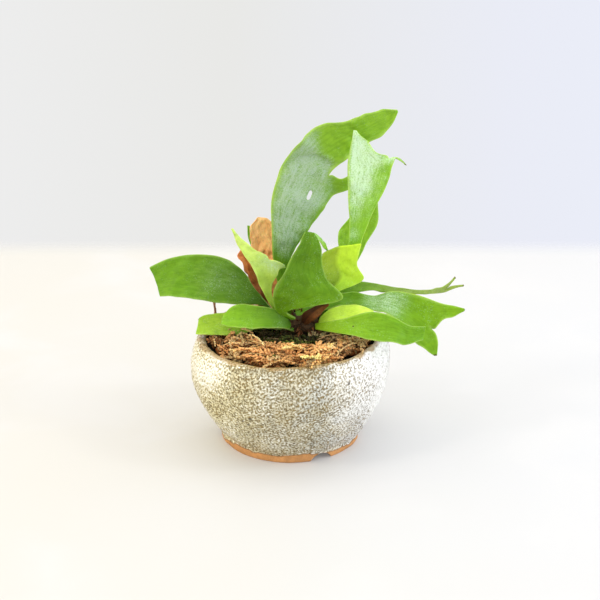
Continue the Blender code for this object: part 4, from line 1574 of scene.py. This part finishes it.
def make_floor():
    """A pale table top, painted warmer on the left as warm light falls there, whose far edge fades
    out.
    """
    f = Finish("pale_floor", Roughness=0.5, Specular_IOR_Level=0.3, Emission_Strength=0.12)
    x = f.node("ShaderNodeSeparateXYZ", {}, {0: f.place()}, 0)
    y = f.node("ShaderNodeSeparateXYZ", {}, {0: f.place()}, 1)
    stain = f.noise(70.0, 4.0, distortion=0.6).steps(0.45, 0.75)
    # Painted light: warmer on the left and cooler on the right, as the side lights fall on the
    # floor.
    side = (x + (f.noise(160.0, 2.0) - 0.5) * 0.25).steps(-0.2, 0.2)
    body = f.mix(side, (0.56, 0.54, 0.49), (0.55, 0.555, 0.565))
    f.feed("Base Color", f.mix(stain * 0.5, body, (0.585, 0.58, 0.575)))
    f.shader.inputs["Emission Color"].default_value = (1.0, 0.98, 0.95, 1.0)
    f.feed("Alpha", 1 - y.steps(FLOOR_BACK - 0.02, FLOOR_BACK + 0.02))
    bpy.ops.mesh.primitive_plane_add(size=1.0)
    obj = bpy.context.active_object
    depth = FLOOR_SIDE + FLOOR_BACK + 0.03
    shape = points_of(obj) * (2 * FLOOR_SIDE, depth, 1) + (0, FLOOR_BACK + 0.03 - depth / 2, 0)
    set_points(obj, shape)
    obj.name = "Floor"
    obj.data.materials.append(f.material)


def add_light(name, place, size, power, colour, aim=(0, 0, 0.06)):
    light = bpy.data.lights.new(name, "AREA")
    light.shape = "RECTANGLE"
    light.size, light.size_y = size
    light.energy = power
    light.color = colour
    obj = bpy.data.objects.new(name, light)
    bpy.context.scene.collection.objects.link(obj)
    obj.location = place
    obj.rotation_euler = (Vector(aim) - Vector(place)).to_track_quat("-Z", "Y").to_euler()


def make_world():
    """A pale wall all round: cooler to the right, and darker in front."""
    world = bpy.data.worlds.new("pale_room")
    bpy.context.scene.world = world
    world.use_nodes = True
    tree = world.node_tree
    background = tree.nodes["Background"]

    def span(socket, low, high, start, end):
        made = tree.nodes.new("ShaderNodeMapRange")
        made.interpolation_type = "SMOOTHSTEP"
        keys = ("From Min", "From Max", "To Min", "To Max")
        for key, value in zip(keys, (low, high, start, end)):
            made.inputs[key].default_value = value
        tree.links.new(socket, made.inputs["Value"])
        return made.outputs[0]

    place = tree.nodes.new("ShaderNodeTexCoord").outputs["Generated"]
    split = tree.nodes.new("ShaderNodeSeparateXYZ")
    tree.links.new(place, split.inputs[0])
    ramp = tree.nodes.new("ShaderNodeValToRGB")
    across = tree.nodes.new("ShaderNodeMapRange")
    across.inputs["From Min"].default_value = -1.0
    tree.links.new(split.outputs["X"], across.inputs["Value"])
    tree.links.new(across.outputs[0], ramp.inputs[0])
    stops = ramp.color_ramp.elements
    while len(stops) < len(WALL_COLOURS):
        stops.new(0.5)
    for stop, (position, colour) in zip(stops, WALL_COLOURS):
        stop.position = position
        stop.color = (*colour, 1.0)
    tree.links.new(ramp.outputs[0], background.inputs["Color"])
    strength = span(split.outputs["Y"], -0.6, 0.7, FRONT_LIGHT, 1.0)
    tree.links.new(strength, background.inputs["Strength"])


def make_camera():
    data = bpy.data.cameras.new("Camera")
    data.lens = CAMERA_LENS
    data.clip_start = 0.01
    data.clip_end = 20.0
    camera = bpy.data.objects.new("Camera", data)
    bpy.context.scene.collection.objects.link(camera)
    target = Vector(TARGET) * MM + AXIS
    up = math.radians(CAMERA_ELEVATION)
    back = Vector((0, -math.cos(up), math.sin(up)))
    camera.location = target + back * CAMERA_DISTANCE
    camera.rotation_euler = (-back).to_track_quat("-Z", "Y").to_euler()
    bpy.context.scene.camera = camera


def make_stage():
    scene = bpy.context.scene
    scene.view_settings.view_transform = "Standard"
    make_floor()
    make_world()
    add_light("Overhead", (-0.1, 0.2, 0.75), (0.6, 0.5), 1.3, (1.0, 0.99, 0.95))
    add_light("Left", (-0.55, -0.3, 0.6), (0.12, 0.12), 0.9, (1.0, 0.95, 0.85))
    add_light("Right", (0.6, -0.15, 0.55), (0.12, 0.12), 0.9, (0.95, 0.97, 1.0))
    make_camera()


# ---------------------------------------------------------------- the add-on


class FERN_OT_bowl(bpy.types.Operator):
    """Build the glazed bowl"""

    bl_idname = "fern.bowl"
    bl_label = "Bowl"

    def execute(self, context):
        make_bowl()
        return {"FINISHED"}


class FERN_OT_root_ball(bpy.types.Operator):
    """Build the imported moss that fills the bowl"""

    bl_idname = "fern.root_ball"
    bl_label = "Root ball"

    def execute(self, context):
        make_root_ball()
        return {"FINISHED"}


class FERN_OT_tufts(bpy.types.Operator):
    """Build the loose moss tufts"""

    bl_idname = "fern.tufts"
    bl_label = "Moss tufts"

    def execute(self, context):
        make_tufts()
        return {"FINISHED"}


class FERN_OT_rhizome(bpy.types.Operator):
    """Build the creeping stem and the dry stalk"""

    bl_idname = "fern.rhizome"
    bl_label = "Rhizome"

    def execute(self, context):
        material = moss_finish("dry_stalk", 0.7)
        make_rhizome(material)
        make_dry_stipe(material)
        return {"FINISHED"}


class FERN_OT_fronds(bpy.types.Operator):
    """Grow the green fronds"""

    bl_idname = "fern.fronds"
    bl_label = "Fronds"

    def execute(self, context):
        make_fronds()
        return {"FINISHED"}


class FERN_OT_shields(bpy.types.Operator):
    """Grow the papery brown shields"""

    bl_idname = "fern.shields"
    bl_label = "Shields"

    def execute(self, context):
        make_shields()
        return {"FINISHED"}


class FERN_OT_stage(bpy.types.Operator):
    """Set up the floor, the lights and the camera"""

    bl_idname = "fern.stage"
    bl_label = "Stage"

    def execute(self, context):
        make_stage()
        return {"FINISHED"}


OPERATORS = (
    FERN_OT_bowl, FERN_OT_root_ball, FERN_OT_tufts, FERN_OT_rhizome, FERN_OT_fronds,
    FERN_OT_shields, FERN_OT_stage,
)


class FERN_PT_panel(bpy.types.Panel):
    """Lists the fern's pieces and settings"""

    bl_label = "Staghorn fern"
    bl_idname = "FERN_PT_panel"
    bl_space_type = "VIEW_3D"
    bl_region_type = "UI"
    bl_category = "Fern"

    def draw(self, context):
        for group in ("fern_bowl", "fern_moss", "fern_fronds"):
            settings = getattr(context.scene, group)
            box = self.layout.box()
            for key in settings.bl_rna.properties.keys():
                if key not in {"rna_type", "name"}:
                    box.prop(settings, key)
        for operator in OPERATORS:
            self.layout.operator(operator.bl_idname)


GROUPS = {
    "fern_bowl": FernBowlSettings,
    "fern_moss": FernMossSettings,
    "fern_fronds": FernFrondSettings,
}
CLASSES = (*GROUPS.values(), *OPERATORS, FERN_PT_panel)


def register():
    for cls in CLASSES:
        bpy.utils.register_class(cls)
    for name, group in GROUPS.items():
        setattr(bpy.types.Scene, name, bpy.props.PointerProperty(type=group))


def unregister():
    for name in GROUPS:
        delattr(bpy.types.Scene, name)
    for cls in reversed(CLASSES):
        bpy.utils.unregister_class(cls)


def main():
    """Builds every piece and the stage."""
    register()
    bpy.ops.fern.bowl()
    bpy.ops.fern.root_ball()
    bpy.ops.fern.tufts()
    bpy.ops.fern.rhizome()
    bpy.ops.fern.fronds()
    bpy.ops.fern.shields()
    bpy.ops.fern.stage()


if __name__ == "__main__":
    main()
